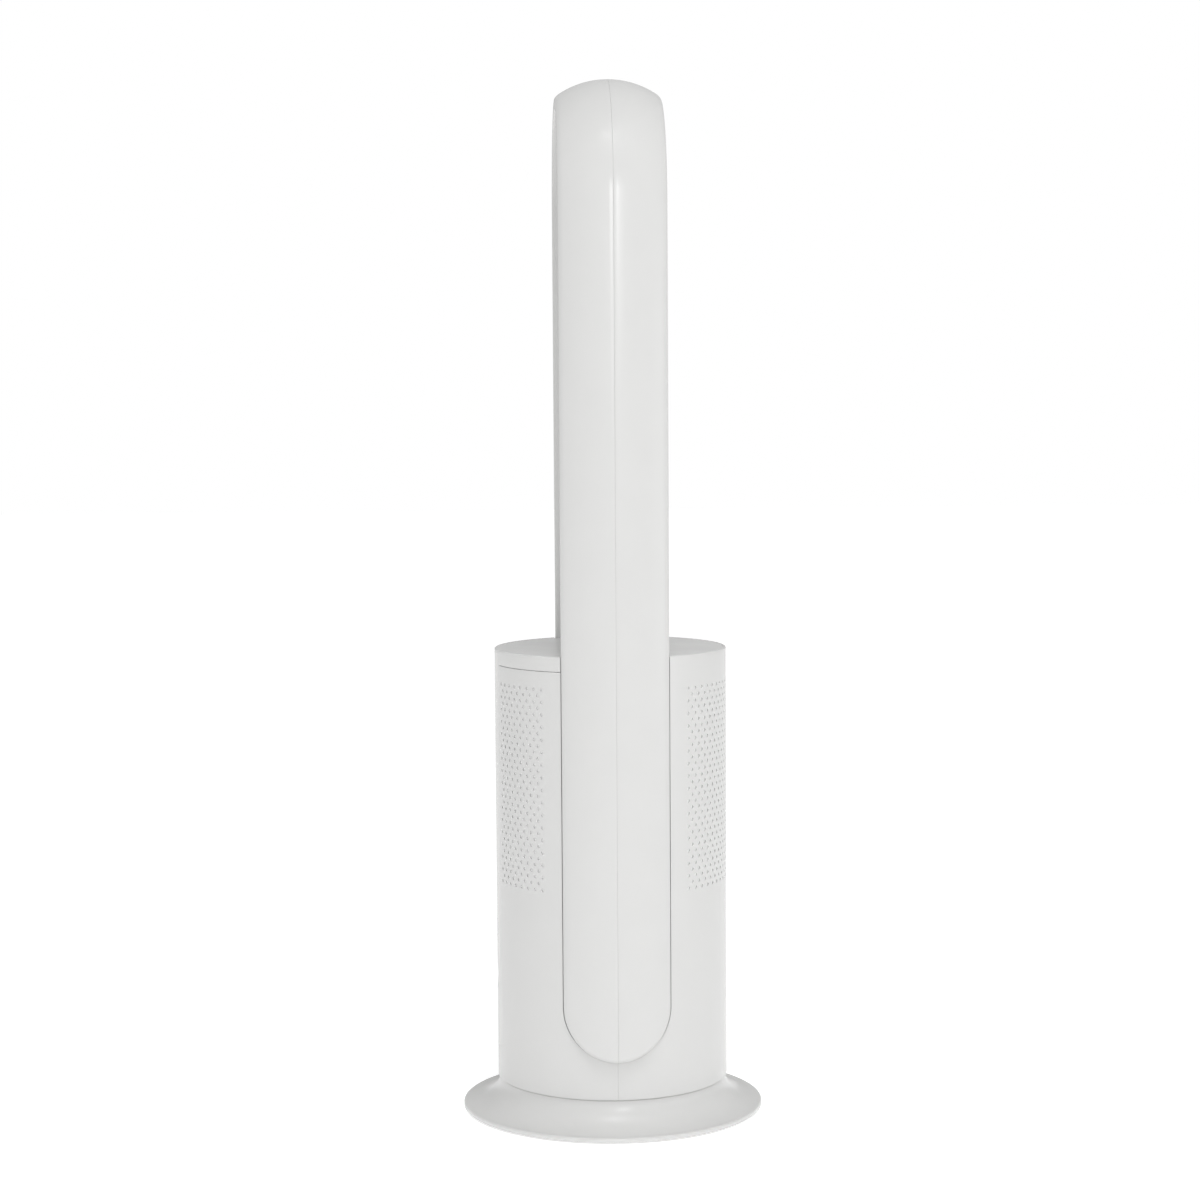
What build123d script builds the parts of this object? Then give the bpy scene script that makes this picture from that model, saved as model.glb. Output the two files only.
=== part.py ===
from build123d import *

import os
from math import acos, asin, cos, degrees, pi, radians, sin, sqrt, tan

# A bladeless tower fan. A mixed-flow impeller in the round body draws air through perforated
# panels and drives it up both legs of a tall air loop, which lets it out of a slot towards the
# front. The body swings from side to side on its base.
#
# Millimetres. +Z is up, the front faces -Y, and the origin is the middle of the base on the floor.

os.makedirs("parts", exist_ok=True)

# ---------------------------------------------------------------- driving dimensions

# Clearances
seam_gap = 0.4  # open line left between two outer covers
fit_gap = 0.15  # between pieces of one body that drop into each other
turn_gap = 0.3  # between faces that pass each other
bearing_gap = 0.05  # radial running fit of a shaft or a hub
wall = 2.5  # moulded covers and ducts

# Base
base_radius = 140.0
rim_top = 5.5
rim_flat = 3.0  # width of the flat rim outside the flare
rim_round = 1.5
deck_round = 1.0
base_top = 30.0
deck_inset = 1.5  # the deck is this much smaller than the body above it
deck_thickness = 3.0
foot_stand = 1.5  # how far the feet hold the base off the floor
foot_radius = 8.0
foot_circle = 110.0
foot_recess = 1.0
screw_count = 6
plate_thickness = 2.0
plate_radius = 127.0
ballast_inner = 45.0
ballast_gap = 1.5
ballast_thickness = 10.0
ballast_bevel = 0.5
base_boss_inset = 2.0
base_boss_radius = 4.5
base_boss_height = 12.5

# Body
body_radius = 107.5
body_bottom = 31.0
body_top = 432.5
cap_skirt = 13.5  # height of the cap's skirt on the front half
floor_thickness = 3.0
rim_bevel = 1.2  # bevel of the top rim
panel_half_width = 28.0
panel_bottom = 62.0
ledge_width = 4.0  # how far the front shell's ledge reaches behind the panel
ledge_root = 2.0
ledge_depth = 2.0

# Intake windows
window_bottom = 217.0
window_top = 405.0
window_start = 36.5  # degrees round from the side axis
window_end = 72.0
screen_lip = 2.0  # how far a screen's flange reaches past its window
screen_flange = 1.9
screen_gap = 0.1  # a screen's flange to the wall in front of it
mesh_gap = 0.5
mesh_thickness = 1.0

# Air loop
fan_height = 953.0
leg_proud = 7.5  # how far the crown of a leg stands out of the body
loop_half_depth = 48.5
loop_bulge = 16.0  # rise of the outer face from its edge to its crown
loop_thickness = 27.0  # crown of the outer face to the inner face
leg_foot = 66.0
slot_start = 440.0  # the air slot begins just above the body
band_front = 42.0  # front edge of the inner band, ahead of the middle
lip_start = 28.0  # edge of the rear shell's lip, behind the middle
ramp_start = 14.0
ramp_end = 38.0
ramp_drop = 4.2
band_thickness = 2.0
edge_radius = 4.5  # rounding between the outer face and the edges

# Air ports between the body and the legs
port_half_width = 29.0
port_bottom = 349.0
port_top = 411.0
port_frame = 4.0

# Turntable drive
hub_bore = 15.0
hub_radius = 26.0
hub_flange_radius = 40.0
hub_neck = 20.0
floor_boss_radius = 32.0
floor_boss_height = 13.0
gear_module = 1.0
fixed_teeth = 54
pinion_teeth = 18
gear_thickness = 6.0
backlash = 0.35
pressure_angle = radians(20)
retainer_radius = 24.0
retainer_thickness = 2.0
glide_inner = 80.0
glide_outer = 90.0
glide_groove = 1.0
stepper_radius = 14.0
stepper_height = 19.0
stepper_base = 56.0
stepper_ear = 17.5
stepper_post_radius = 3.5
pinion_shaft_radius = 2.5

# Fan unit
bell_bottom = 150.0
bell_radius = 80.0
bell_lip = 84.0
bell_bow = 5.0  # the middle of the bell mouth, inward and up from its corner
throat_radius = 62.0
throat_height = 168.0
duct_radius = 78.0
duct_bottom = 230.0
duct_top = 300.0
plenum_top = 424.0
tip_gap = 1.0
hub_start = 22.0
hub_end = 50.0
impeller_bottom = 168.0
impeller_top = 224.0
blade_count = 9
blade_thickness = 2.0
blade_angle = 35.0
vane_count = 11
vane_angle = -25.0
vane_bottom = 244.0
vane_top = 284.0
motor_floor = 269.0
shaft_radius = 4.0
bearing_radius = 8.0
bearing_height = 5.0
mount_tube_radius = 11.0
mount_plate_top = 265.0
mount_plate_thickness = 3.0
mount_plate_radius = 44.0
can_radius = 30.0
can_wall = 2.0
can_bottom = 230.0
can_height = 24.0
magnet_thickness = 2.5
air_gap = 0.7
isolator_count = 3
isolator_circle = 34.0
stand_leg_radius = 5.0
stand_circle = 86.0
stand_ring_outer = 88.0
stand_ring = 4.0
hub_boss_radius = 10.0
hub_boss_height = 30.0
nut_radius = 7.0
nut_height = 6.0
tooth_count = 9
tooth_width = 5.0
stator_ring = 4.0
stator_inset = 6.0  # below the can's floor and rim
winding_thickness = 1.5
winding_inset = 1.5  # the tooth tip left bare outside the winding
winding_gap = 0.5
tail_height = 20.0
tail_tip = 12.0
isolator_flange = 6.5
isolator_neck = 4.0
isolator_head = 2.5

# Controls and electrics
button_radius = 12.0
button_height = 124.0
button_recess = 0.8
button_travel = 1.2
button_lip = 1.5
button_lip_thickness = 1.6
button_stem_radius = 3.0
button_gap = 0.3
switch_size = 12.0
switch_height = 4.0
plunger_radius = 1.75
plunger_height = 2.5
module_margin = 2.0
lens_width = 26.0
lens_height = 14.0
lens_centre = 172.0
lens_corner = 3.0
board_depth = 15.5  # front of the body to the front face of the control board
board_thickness = 1.6
board_half_width = 26.0
board_bottom = 100.0
board_top = 200.0
board_screw_x = 19.5
inlet_height = 76.0
inlet_width = 24.0
inlet_tall = 16.0
inlet_depth = 22.0
inlet_recess = 10.0
inlet_inset = 0.5
inlet_corner = 2.0
inlet_pin_radius = 1.2
inlet_pin_pitch = 8.6
inlet_slot_tall = 8.6
power_board_y = 72.0
power_board_half_width = 36.0
power_board_height = 90.0
board_clip = 6.0
transformer_size = (24.0, 16.0, 20.0)
capacitor_radius = 5.0
capacitor_height = 22.0

# Screws
screw_shank = 1.5
screw_head = 3.0
screw_head_height = 1.3
loop_shank = 2.0
loop_head = 3.8
loop_head_height = 2.2
loop_boss_radius = 4.5
loop_boss_length = 12.0
loop_screw_y = 22.0
loop_screw_heights = (95.0, 322.0)
shell_boss_inset = 4.0
shell_boss_radius = 4.5
shell_boss_height = 24.0

# ---------------------------------------------------------------- sizes that follow

plate_top = foot_stand + plate_thickness
round_middle = 1 - sqrt(0.5)  # how far the middle of a quarter round is inside its corner
deck_radius = body_radius - deck_inset
base_screw_circle = deck_radius - base_boss_inset
ballast_outer = base_screw_circle - base_boss_radius - ballast_gap
loop_half_width = body_radius + leg_proud
flare_foot = base_radius - rim_flat
deck_bottom = base_top - deck_thickness
body_inner = body_radius - wall
cap_seam = body_top - cap_skirt
floor_top = body_bottom + floor_thickness
arch_centre = fan_height - loop_half_width
loop_inner = loop_half_width - loop_thickness
arc_radius = (loop_half_depth**2 + loop_bulge**2) / (2 * loop_bulge)
arc_centre = loop_half_width - arc_radius
channel_floor = loop_inner - turn_gap  # flat bed for a leg, from the axis
channel_half = loop_half_depth + turn_gap
above_all = fan_height + loop_half_width
fixed_pitch_radius = gear_module * fixed_teeth / 2
pinion_pitch_radius = gear_module * pinion_teeth / 2
pinion_offset = fixed_pitch_radius + pinion_pitch_radius
boss_top = floor_top - floor_thickness + floor_boss_height
gear_bottom = boss_top + turn_gap
gear_top = gear_bottom + gear_thickness
screen_outer = body_inner - screen_gap
screen_inner = screen_outer - screen_flange
cap_bottom = body_top - wall
board_face = body_radius - board_depth
board_back = board_face - board_thickness
shell_screw_circle = body_inner - shell_boss_inset
button_face = body_radius - button_recess
panel_angle = degrees(asin(panel_half_width / body_inner))
ledge_angle = degrees(ledge_width / body_inner)
root_angle = degrees(ledge_root / body_inner)
inlet_face = sqrt(body_radius**2 - (inlet_width / 2) ** 2) - inlet_inset
panel_top = cap_bottom - fit_gap
button_hole = button_radius + button_gap
switch_top = board_face + switch_height + plunger_height
button_lip_radius = button_radius + button_lip
lip_front = sqrt((body_inner + fit_gap) ** 2 - button_lip_radius**2) - turn_gap
spout_end = channel_floor - wall - turn_gap
can_inner = can_radius - can_wall
magnet_inner = can_inner - magnet_thickness
stator_radius = magnet_inner - air_gap
mount_plate_bottom = mount_plate_top - mount_plate_thickness
duct_slope = (duct_radius - throat_radius) / (duct_bottom - throat_height)
tip_radius = throat_radius + duct_slope * (impeller_top - throat_height) - tip_gap


# ---------------------------------------------------------------- shared outlines


def leg_section(inset):
    """A leg seen from above: bulged outer face with rounded edges, and a flat inner face."""
    half = loop_half_depth - inset
    crown = loop_half_width - inset
    edge = arc_centre + sqrt((arc_radius - inset) ** 2 - half**2)
    inner = loop_inner + inset
    with BuildSketch() as section:
        with BuildLine():
            face = ThreePointArc((edge, -half), (crown, 0), (edge, half))
            Polyline(face @ 1, (inner, half), (inner, -half), face @ 0)
        make_face()
        fillet(section.vertices().sort_by(Axis.X)[-2:], edge_radius - inset)
    return section.sketch


def leg_side(half, bottom, top):
    """A leg seen from the side: straight edges and a half-round foot."""
    with BuildSketch() as side:
        with BuildLine():
            foot = ThreePointArc((-half, bottom + half), (0, bottom), (half, bottom + half))
            Polyline(foot @ 1, (half, top), (-half, top), foot @ 0)
        make_face()
    return side.sketch


def ring_sector(inner, outer, start, end):
    """Part of a flat ring between two radii and two angles, in degrees round from +X."""
    with BuildSketch() as sector:
        with BuildLine():
            far = CenterArc((0, 0), outer, start, end - start)
            near = CenterArc((0, 0), inner, start, end - start)
            Line(far @ 0, near @ 0)
            Line(far @ 1, near @ 1)
        make_face()
    return sector.sketch


def loop_around(section, bottom):
    """Carry a leg's section up one leg, over the arch and down the other leg."""
    with BuildPart() as loop:
        with BuildSketch(Plane.XY.offset(bottom)):
            add(section)
        extrude(amount=arch_centre - bottom)
        mirror(about=Plane.YZ)
        with BuildSketch(Plane.XY.offset(arch_centre)):
            add(section)
        revolve(axis=Axis((0, 0, arch_centre), (0, 1, 0)), revolution_arc=-180)
    return loop.part


def loop_solid(inset):
    """The whole loop as a solid, drawn inward by inset, with half-round feet."""
    with BuildPart() as solid:
        add(loop_around(leg_section(inset), leg_foot + inset))
        with BuildSketch(Plane.YZ):
            add(leg_side(loop_half_depth - inset, leg_foot + inset, above_all))
        extrude(amount=above_all, both=True, mode=Mode.INTERSECT)
    return solid.part


def body_solid(inset, rim=0):
    """The body's cylinder with a flat bed for each leg, drawn inward by inset."""
    bed = leg_side(channel_half + inset, leg_foot - turn_gap - inset, above_all)
    with BuildPart() as solid:
        with BuildSketch(Plane.XY.offset(body_bottom)):
            Circle(body_radius - inset)
        extrude(amount=body_top - body_bottom)
        if rim:
            chamfer(solid.edges().group_by(Axis.Z)[-1], rim)
        for side in (-1, 1):
            with BuildSketch(Plane.YZ.offset(side * (channel_floor - inset))):
                add(bed)
            extrude(amount=side * body_radius, mode=Mode.SUBTRACT)
    return solid.part


def gear_outline(teeth, first_tooth):
    """A spur gear with involute flanks, its first tooth's middle at first_tooth degrees."""
    pitch = gear_module * teeth / 2
    base = pitch * cos(pressure_angle)
    root = pitch - 1.25 * gear_module
    tip = pitch + gear_module
    half_tooth = (pi * gear_module / 2 - backlash) / (2 * pitch)
    flank_radii = [max(root, base), (max(root, base) + pitch) / 2, pitch, (pitch + tip) / 2, tip]

    def half_angle(radius):
        rolled = acos(min(1, base / radius))
        return half_tooth + tan(pressure_angle) - pressure_angle - tan(rolled) + rolled

    points = []
    for tooth in range(teeth):
        middle = radians(first_tooth) + 2 * pi * tooth / teeth
        flank = [(radius, half_angle(radius)) for radius in flank_radii]
        rising = [(root, half_angle(flank_radii[0]))] + flank
        turned = [(radius, middle - angle) for radius, angle in rising]
        turned += [(radius, middle + angle) for radius, angle in reversed(rising)]
        points += [(radius * cos(angle), radius * sin(angle)) for radius, angle in turned]
    distinct = [points[0]]
    for point in points[1:]:
        if abs(point[0] - distinct[-1][0]) + abs(point[1] - distinct[-1][1]) > 0.001:
            distinct.append(point)
    with BuildSketch() as gear:
        with BuildLine():
            Polyline(*distinct, close=True)
        make_face()
    return gear.sketch


# ---------------------------------------------------------------- base

with BuildPart() as base_plate:
    with BuildSketch(Plane.XZ):
        with BuildLine():
            flare = EllipticalCenterArc(
                (flare_foot, base_top - deck_round),
                flare_foot - deck_radius,
                base_top - deck_round - rim_top,
                start_angle=180,
                arc_size=90,
            )
            inside = EllipticalCenterArc(
                (plate_radius, deck_bottom),
                plate_radius - deck_radius + deck_thickness,
                deck_bottom - plate_top,
                start_angle=180,
                arc_size=90,
            )
            deck_edge = ThreePointArc(
                flare @ 0,
                (deck_radius - round_middle * deck_round, base_top - round_middle * deck_round),
                (deck_radius - deck_round, base_top),
            )
            rim_edge = ThreePointArc(
                (base_radius - rim_round, rim_top),
                (base_radius - round_middle * rim_round, rim_top - round_middle * rim_round),
                (base_radius, rim_top - rim_round),
            )
            Line(flare @ 1, rim_edge @ 0)
            Polyline(
                rim_edge @ 1, (base_radius, foot_stand), (plate_radius, foot_stand), inside @ 1
            )
            Polyline(
                inside @ 0,
                (hub_radius + fit_gap, deck_bottom),
                (hub_radius + fit_gap, base_top),
                deck_edge @ 1,
            )
        make_face()
    revolve(axis=Axis.Z)
    with BuildSketch(Plane.XY.offset(plate_top)):
        with PolarLocations(base_screw_circle, screw_count, start_angle=30):
            Circle(base_boss_radius)
    extrude(amount=base_boss_height)
    with BuildSketch(Plane.XY.offset(plate_top)):
        with PolarLocations(base_screw_circle, screw_count, start_angle=30):
            Circle(screw_shank)
    extrude(amount=base_boss_height - wall, mode=Mode.SUBTRACT)
    with BuildSketch(Plane.XY.offset(base_top)):
        Circle(glide_outer + fit_gap)
        Circle(glide_inner - fit_gap, mode=Mode.SUBTRACT)
    extrude(amount=-glide_groove, mode=Mode.SUBTRACT)
base_plate.part.label = "base_plate"
export_step(base_plate.part, "parts/base_plate.step")

with BuildPart() as base_underplate:
    with BuildSketch(Plane.XY.offset(foot_stand)):
        Circle(plate_radius - fit_gap)
        with PolarLocations(base_screw_circle, screw_count, start_angle=30):
            Circle(screw_shank + fit_gap, mode=Mode.SUBTRACT)
    extrude(amount=plate_thickness)
    with BuildSketch(Plane.XY.offset(foot_stand)):
        with PolarLocations(foot_circle, screw_count):
            Circle(foot_radius + fit_gap)
    extrude(amount=foot_recess, mode=Mode.SUBTRACT)
    with BuildSketch(Plane.XY.offset(foot_stand)):
        with PolarLocations(base_screw_circle, screw_count, start_angle=30):
            Circle(screw_head + fit_gap)
    extrude(amount=screw_head_height, mode=Mode.SUBTRACT)
base_underplate.part.label = "base_underplate"
export_step(base_underplate.part, "parts/base_underplate.step")

with BuildPart() as base_screws:
    with BuildSketch(Plane.XY.offset(foot_stand)):
        with PolarLocations(base_screw_circle, screw_count, start_angle=30):
            Circle(screw_head)
    extrude(amount=screw_head_height)
    with BuildSketch(Plane.XY.offset(foot_stand + screw_head_height)):
        with PolarLocations(base_screw_circle, screw_count, start_angle=30):
            Circle(screw_shank)
    extrude(amount=base_boss_height - wall)
base_screws.part.label = "base_screws"
export_step(base_screws.part, "parts/base_screws.step")

with BuildPart() as rubber_feet:
    with BuildSketch():
        with PolarLocations(foot_circle, screw_count):
            Circle(foot_radius)
    extrude(amount=foot_stand + foot_recess)
    chamfer(rubber_feet.edges().group_by(Axis.Z)[0], 0.4)
rubber_feet.part.label = "rubber_feet"
export_step(rubber_feet.part, "parts/rubber_feet.step")

with BuildPart() as ballast_ring:
    with BuildSketch(Plane.XY.offset(plate_top)):
        Circle(ballast_outer)
        Circle(ballast_inner, mode=Mode.SUBTRACT)
    extrude(amount=ballast_thickness)
    chamfer(ballast_ring.edges(), ballast_bevel)
ballast_ring.part.label = "ballast_ring"
export_step(ballast_ring.part, "parts/ballast_ring.step")

with BuildPart() as pivot_hub:
    with BuildSketch(Plane.XZ):
        with BuildLine():
            Polyline(
                (hub_bore, deck_bottom - deck_thickness),
                (hub_flange_radius, deck_bottom - deck_thickness),
                (hub_flange_radius, deck_bottom),
                (hub_radius, deck_bottom),
                (hub_radius, gear_bottom),
                (hub_neck, gear_bottom),
                (hub_neck, gear_top),
                (hub_bore, gear_top),
                close=True,
            )
        make_face()
    revolve(axis=Axis.Z)
    with BuildSketch(Plane.XY.offset(gear_top)):
        with PolarLocations((hub_bore + hub_neck) / 2, 3):
            Circle(screw_shank)
    extrude(amount=-2 * gear_thickness, mode=Mode.SUBTRACT)
pivot_hub.part.label = "pivot_hub"
export_step(pivot_hub.part, "parts/pivot_hub.step")

with BuildPart() as glide_ring:
    with BuildSketch(Plane.XY.offset(base_top - glide_groove)):
        Circle(glide_outer)
        Circle(glide_inner, mode=Mode.SUBTRACT)
    extrude(amount=glide_groove + body_bottom - base_top - turn_gap)
glide_ring.part.label = "glide_ring"
export_step(glide_ring.part, "parts/glide_ring.step")

# A tooth gap of the fixed gear faces +Y, where the pinion's tooth enters it.
with BuildPart() as fixed_gear:
    with BuildSketch(Plane.XY.offset(gear_bottom)):
        add(gear_outline(fixed_teeth, 90 + 180 / fixed_teeth))
        Circle(hub_neck, mode=Mode.SUBTRACT)
    extrude(amount=gear_thickness)
fixed_gear.part.label = "fixed_gear"
export_step(fixed_gear.part, "parts/fixed_gear.step")

with BuildPart() as gear_retainer:
    with BuildSketch(Plane.XY.offset(gear_top)):
        Circle(retainer_radius)
        Circle(hub_bore, mode=Mode.SUBTRACT)
        with PolarLocations((hub_bore + hub_neck) / 2, 3):
            Circle(screw_shank, mode=Mode.SUBTRACT)
    extrude(amount=retainer_thickness)
gear_retainer.part.label = "gear_retainer"
export_step(gear_retainer.part, "parts/gear_retainer.step")

with BuildPart() as hub_screws:
    with BuildSketch(Plane.XY.offset(gear_top + retainer_thickness)):
        with PolarLocations((hub_bore + hub_neck) / 2, 3):
            Circle(screw_shank)
    extrude(amount=-2 * gear_thickness)
    with BuildSketch(Plane.XY.offset(gear_top + retainer_thickness)):
        with PolarLocations((hub_bore + hub_neck) / 2, 3):
            Circle(screw_head)
    extrude(amount=screw_head_height)
hub_screws.part.label = "hub_screws"
export_step(hub_screws.part, "parts/hub_screws.step")

# ---------------------------------------------------------------- body floor and drive

shell_screw_places = PolarLocations(shell_screw_circle, screw_count, start_angle=30)

with BuildPart() as body_floor:
    with BuildSketch(Plane.XY.offset(body_bottom)):
        Circle(body_inner - fit_gap)
    extrude(amount=floor_thickness)
    with BuildSketch(Plane.XY.offset(floor_top)):
        Circle(floor_boss_radius)
    extrude(amount=boss_top - floor_top)
    with BuildSketch(Plane.XY.offset(floor_top)):
        for side in (-1, 1):
            with Locations((side * stepper_ear, pinion_offset)):
                Circle(stepper_post_radius)
    extrude(amount=stepper_base - floor_top)
    with BuildSketch(Plane.XY.offset(floor_top)):
        for side in (-1, 1):
            with Locations((side * (power_board_half_width - board_clip), power_board_y)):
                Rectangle(board_clip, 2 * board_clip)
    extrude(amount=2 * board_clip)
    with BuildSketch(Plane.XZ.offset(-power_board_y)):
        with Locations((0, floor_top + power_board_height / 2)):
            Rectangle(2 * power_board_half_width, power_board_height)
    extrude(amount=-board_thickness, mode=Mode.SUBTRACT)
    with BuildSketch(Plane.XY.offset(body_bottom)):
        Circle(hub_radius + bearing_gap)
    extrude(amount=floor_boss_height, mode=Mode.SUBTRACT)
    with BuildSketch(Plane.XY.offset(body_bottom)):
        with shell_screw_places:
            Circle(screw_shank + fit_gap)
    extrude(amount=floor_thickness, mode=Mode.SUBTRACT)
    with BuildSketch(Plane.XY.offset(body_bottom)):
        with shell_screw_places:
            Circle(screw_head + fit_gap)
    extrude(amount=screw_head_height, mode=Mode.SUBTRACT)
body_floor.part.label = "body_floor"
export_step(body_floor.part, "parts/body_floor.step")

with BuildPart() as oscillation_motor:
    with BuildSketch(Plane.XY.offset(stepper_base)):
        with Locations((0, pinion_offset)):
            Circle(stepper_radius)
            SlotCenterToCenter(2 * stepper_ear, 2 * stepper_post_radius)
            Circle(pinion_shaft_radius + bearing_gap, mode=Mode.SUBTRACT)
    extrude(amount=floor_thickness / 2)
    with BuildSketch(Plane.XY.offset(stepper_base + floor_thickness / 2)):
        with Locations((0, pinion_offset)):
            Circle(stepper_radius)
            Circle(pinion_shaft_radius + bearing_gap, mode=Mode.SUBTRACT)
    extrude(amount=stepper_height - floor_thickness / 2)
oscillation_motor.part.label = "oscillation_motor"
export_step(oscillation_motor.part, "parts/oscillation_motor.step")

with BuildPart() as pinion_shaft:
    with BuildSketch(Plane.XY.offset(gear_bottom)):
        with Locations((0, pinion_offset)):
            Circle(pinion_shaft_radius)
    extrude(amount=stepper_base + stepper_height / 2 - gear_bottom)
pinion_shaft.part.label = "pinion_shaft"
export_step(pinion_shaft.part, "parts/pinion_shaft.step")

with BuildPart() as drive_pinion:
    with BuildSketch(Plane.XY.offset(gear_bottom)):
        with Locations((0, pinion_offset)):
            add(gear_outline(pinion_teeth, -90))
            Circle(pinion_shaft_radius, mode=Mode.SUBTRACT)
    extrude(amount=gear_thickness)
drive_pinion.part.label = "drive_pinion"
export_step(drive_pinion.part, "parts/drive_pinion.step")

# A sensor on the floor watches the fixed gear to find the middle of the swing.
with BuildPart() as position_sensor:
    with BuildSketch(Plane.XY.offset(floor_top)):
        with Locations((0, -pinion_offset)):
            Rectangle(12, 6)
    extrude(amount=gear_top - floor_top)
position_sensor.part.label = "position_sensor"
export_step(position_sensor.part, "parts/position_sensor.step")

with BuildPart() as shell_screws:
    with BuildSketch(Plane.XY.offset(body_bottom)):
        with shell_screw_places:
            Circle(screw_head)
    extrude(amount=screw_head_height)
    with BuildSketch(Plane.XY.offset(body_bottom + screw_head_height)):
        with shell_screw_places:
            Circle(screw_shank)
    extrude(amount=shell_boss_height - 2 * wall)
shell_screws.part.label = "shell_screws"
export_step(shell_screws.part, "parts/shell_screws.step")

# ---------------------------------------------------------------- body covers

body_outside = body_solid(0, rim_bevel)
body_inside = body_solid(wall)
body_cap_fit = body_solid(wall + fit_gap)
body_wall = body_outside - body_inside


def slab(solid, y_from, y_to, bottom, top):
    """The part of a solid between two Y values and two heights."""
    with BuildPart() as cut:
        add(solid)
        with BuildSketch(Plane.XY.offset(bottom)):
            with Locations((0, (y_from + y_to) / 2)):
                Rectangle(3 * body_radius, y_to - y_from)
        extrude(amount=top - bottom, mode=Mode.INTERSECT)
    return cut.part


def half_shell(front, top):
    """One half of the body's wall, with its screw bosses, leg ports and leg screw holes."""
    y_side = -1 if front else 1
    with BuildPart() as shell:
        add(body_wall)
        with BuildSketch(Plane.XY.offset(floor_top + fit_gap)):
            with shell_screw_places:
                Circle(shell_boss_radius)
        extrude(amount=shell_boss_height)
        with BuildSketch(Plane.XY.offset(floor_top + fit_gap)):
            with shell_screw_places:
                Circle(screw_shank)
        extrude(amount=shell_boss_height - wall, mode=Mode.SUBTRACT)
        with BuildSketch(Plane.YZ):
            with Locations((0, (port_bottom + port_top) / 2)):
                Rectangle(
                    2 * (port_half_width + port_frame + fit_gap),
                    port_top - port_bottom + 2 * (port_frame + fit_gap),
                )
            for height in loop_screw_heights:
                for side in (-1, 1):
                    with Locations((side * loop_screw_y, height)):
                        Circle(loop_shank + fit_gap)
        extrude(amount=body_radius, both=True, mode=Mode.SUBTRACT)
        with BuildSketch(Plane.XY.offset(body_bottom)):
            with Locations((0, y_side * (body_radius + fit_gap / 2))):
                Rectangle(3 * body_radius, 2 * body_radius)
        extrude(amount=top - body_bottom, mode=Mode.INTERSECT)
    return shell.part


with BuildPart() as rear_shell:
    add(half_shell(False, body_top))
    with BuildSketch(Plane.XY.offset(window_bottom)):
        add(ring_sector(body_inner - wall, body_radius + wall, window_start, 180 - window_start))
    extrude(amount=window_top - window_bottom, mode=Mode.SUBTRACT)
    with BuildSketch(Plane.XZ.offset(-body_radius)):
        with Locations((0, inlet_height)):
            RectangleRounded(
                inlet_width + 2 * fit_gap, inlet_tall + 2 * fit_gap, inlet_corner
            )
    extrude(amount=2 * wall, both=True, mode=Mode.SUBTRACT)
rear_shell.part.label = "rear_shell"
export_step(rear_shell.part, "parts/rear_shell.step")

with BuildPart() as front_shell:
    add(half_shell(True, cap_seam - seam_gap))
    with BuildSketch(Plane.XY.offset(window_bottom)):
        add(ring_sector(body_inner - wall, body_radius + wall, -window_end, -window_start))
        add(
            ring_sector(
                body_inner - wall, body_radius + wall, window_start - 180, window_end - 180
            )
        )
    extrude(amount=window_top - window_bottom, mode=Mode.SUBTRACT)
    with BuildSketch(Plane.XY.offset(panel_bottom)):
        with Locations((0, -body_radius)):
            Rectangle(2 * panel_half_width, body_radius)
    extrude(amount=body_top - panel_bottom, mode=Mode.SUBTRACT)
    with BuildSketch(Plane.XY.offset(panel_bottom - ledge_root)):
        for start, end in (
            (-90 - panel_angle - root_angle, -90 - panel_angle + ledge_angle),
            (-90 + panel_angle - ledge_angle, -90 + panel_angle + root_angle),
        ):
            add(ring_sector(body_inner - ledge_depth, body_inner, start, end))
    extrude(amount=cap_seam - seam_gap - panel_bottom + ledge_root)
front_shell.part.label = "front_shell"
export_step(front_shell.part, "parts/front_shell.step")

board_screw_heights = (board_bottom + 2 * wall, board_top - 2 * wall)
board_screw_places = [(side * board_screw_x, z) for side in (-1, 1) for z in board_screw_heights]

with BuildPart() as front_panel:
    with BuildSketch(Plane.XY.offset(panel_bottom + seam_gap)):
        Circle(body_radius)
        Circle(body_inner + fit_gap, mode=Mode.SUBTRACT)
    extrude(amount=panel_top - panel_bottom - seam_gap)
    with BuildSketch(Plane.XZ.offset(board_face)):
        with Locations(*board_screw_places):
            Circle(screw_head)
    extrude(amount=body_inner - board_face)
    with BuildSketch(Plane.XZ.offset(board_face)):
        with Locations(*board_screw_places):
            Circle(screw_shank)
    extrude(amount=2 * wall, mode=Mode.SUBTRACT)
    with BuildSketch(Plane.XZ.offset(board_face)):
        with Locations((0, (panel_bottom + seam_gap + panel_top) / 2)):
            Rectangle(2 * panel_half_width - seam_gap, panel_top - panel_bottom - seam_gap)
    extrude(amount=body_radius - board_face, mode=Mode.INTERSECT)
    with BuildSketch(Plane.XY.offset(panel_bottom)):
        Circle(body_radius)
    extrude(amount=body_top, mode=Mode.INTERSECT)
    with BuildSketch(Plane.XZ.offset(board_face)):
        with Locations((0, button_height)):
            Circle(button_hole)
        with Locations((0, lens_centre)):
            RectangleRounded(
                lens_width + 2 * fit_gap, lens_height + 2 * fit_gap, lens_corner
            )
    extrude(amount=body_radius, mode=Mode.SUBTRACT)
front_panel.part.label = "front_panel"
export_step(front_panel.part, "parts/front_panel.step")

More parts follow.
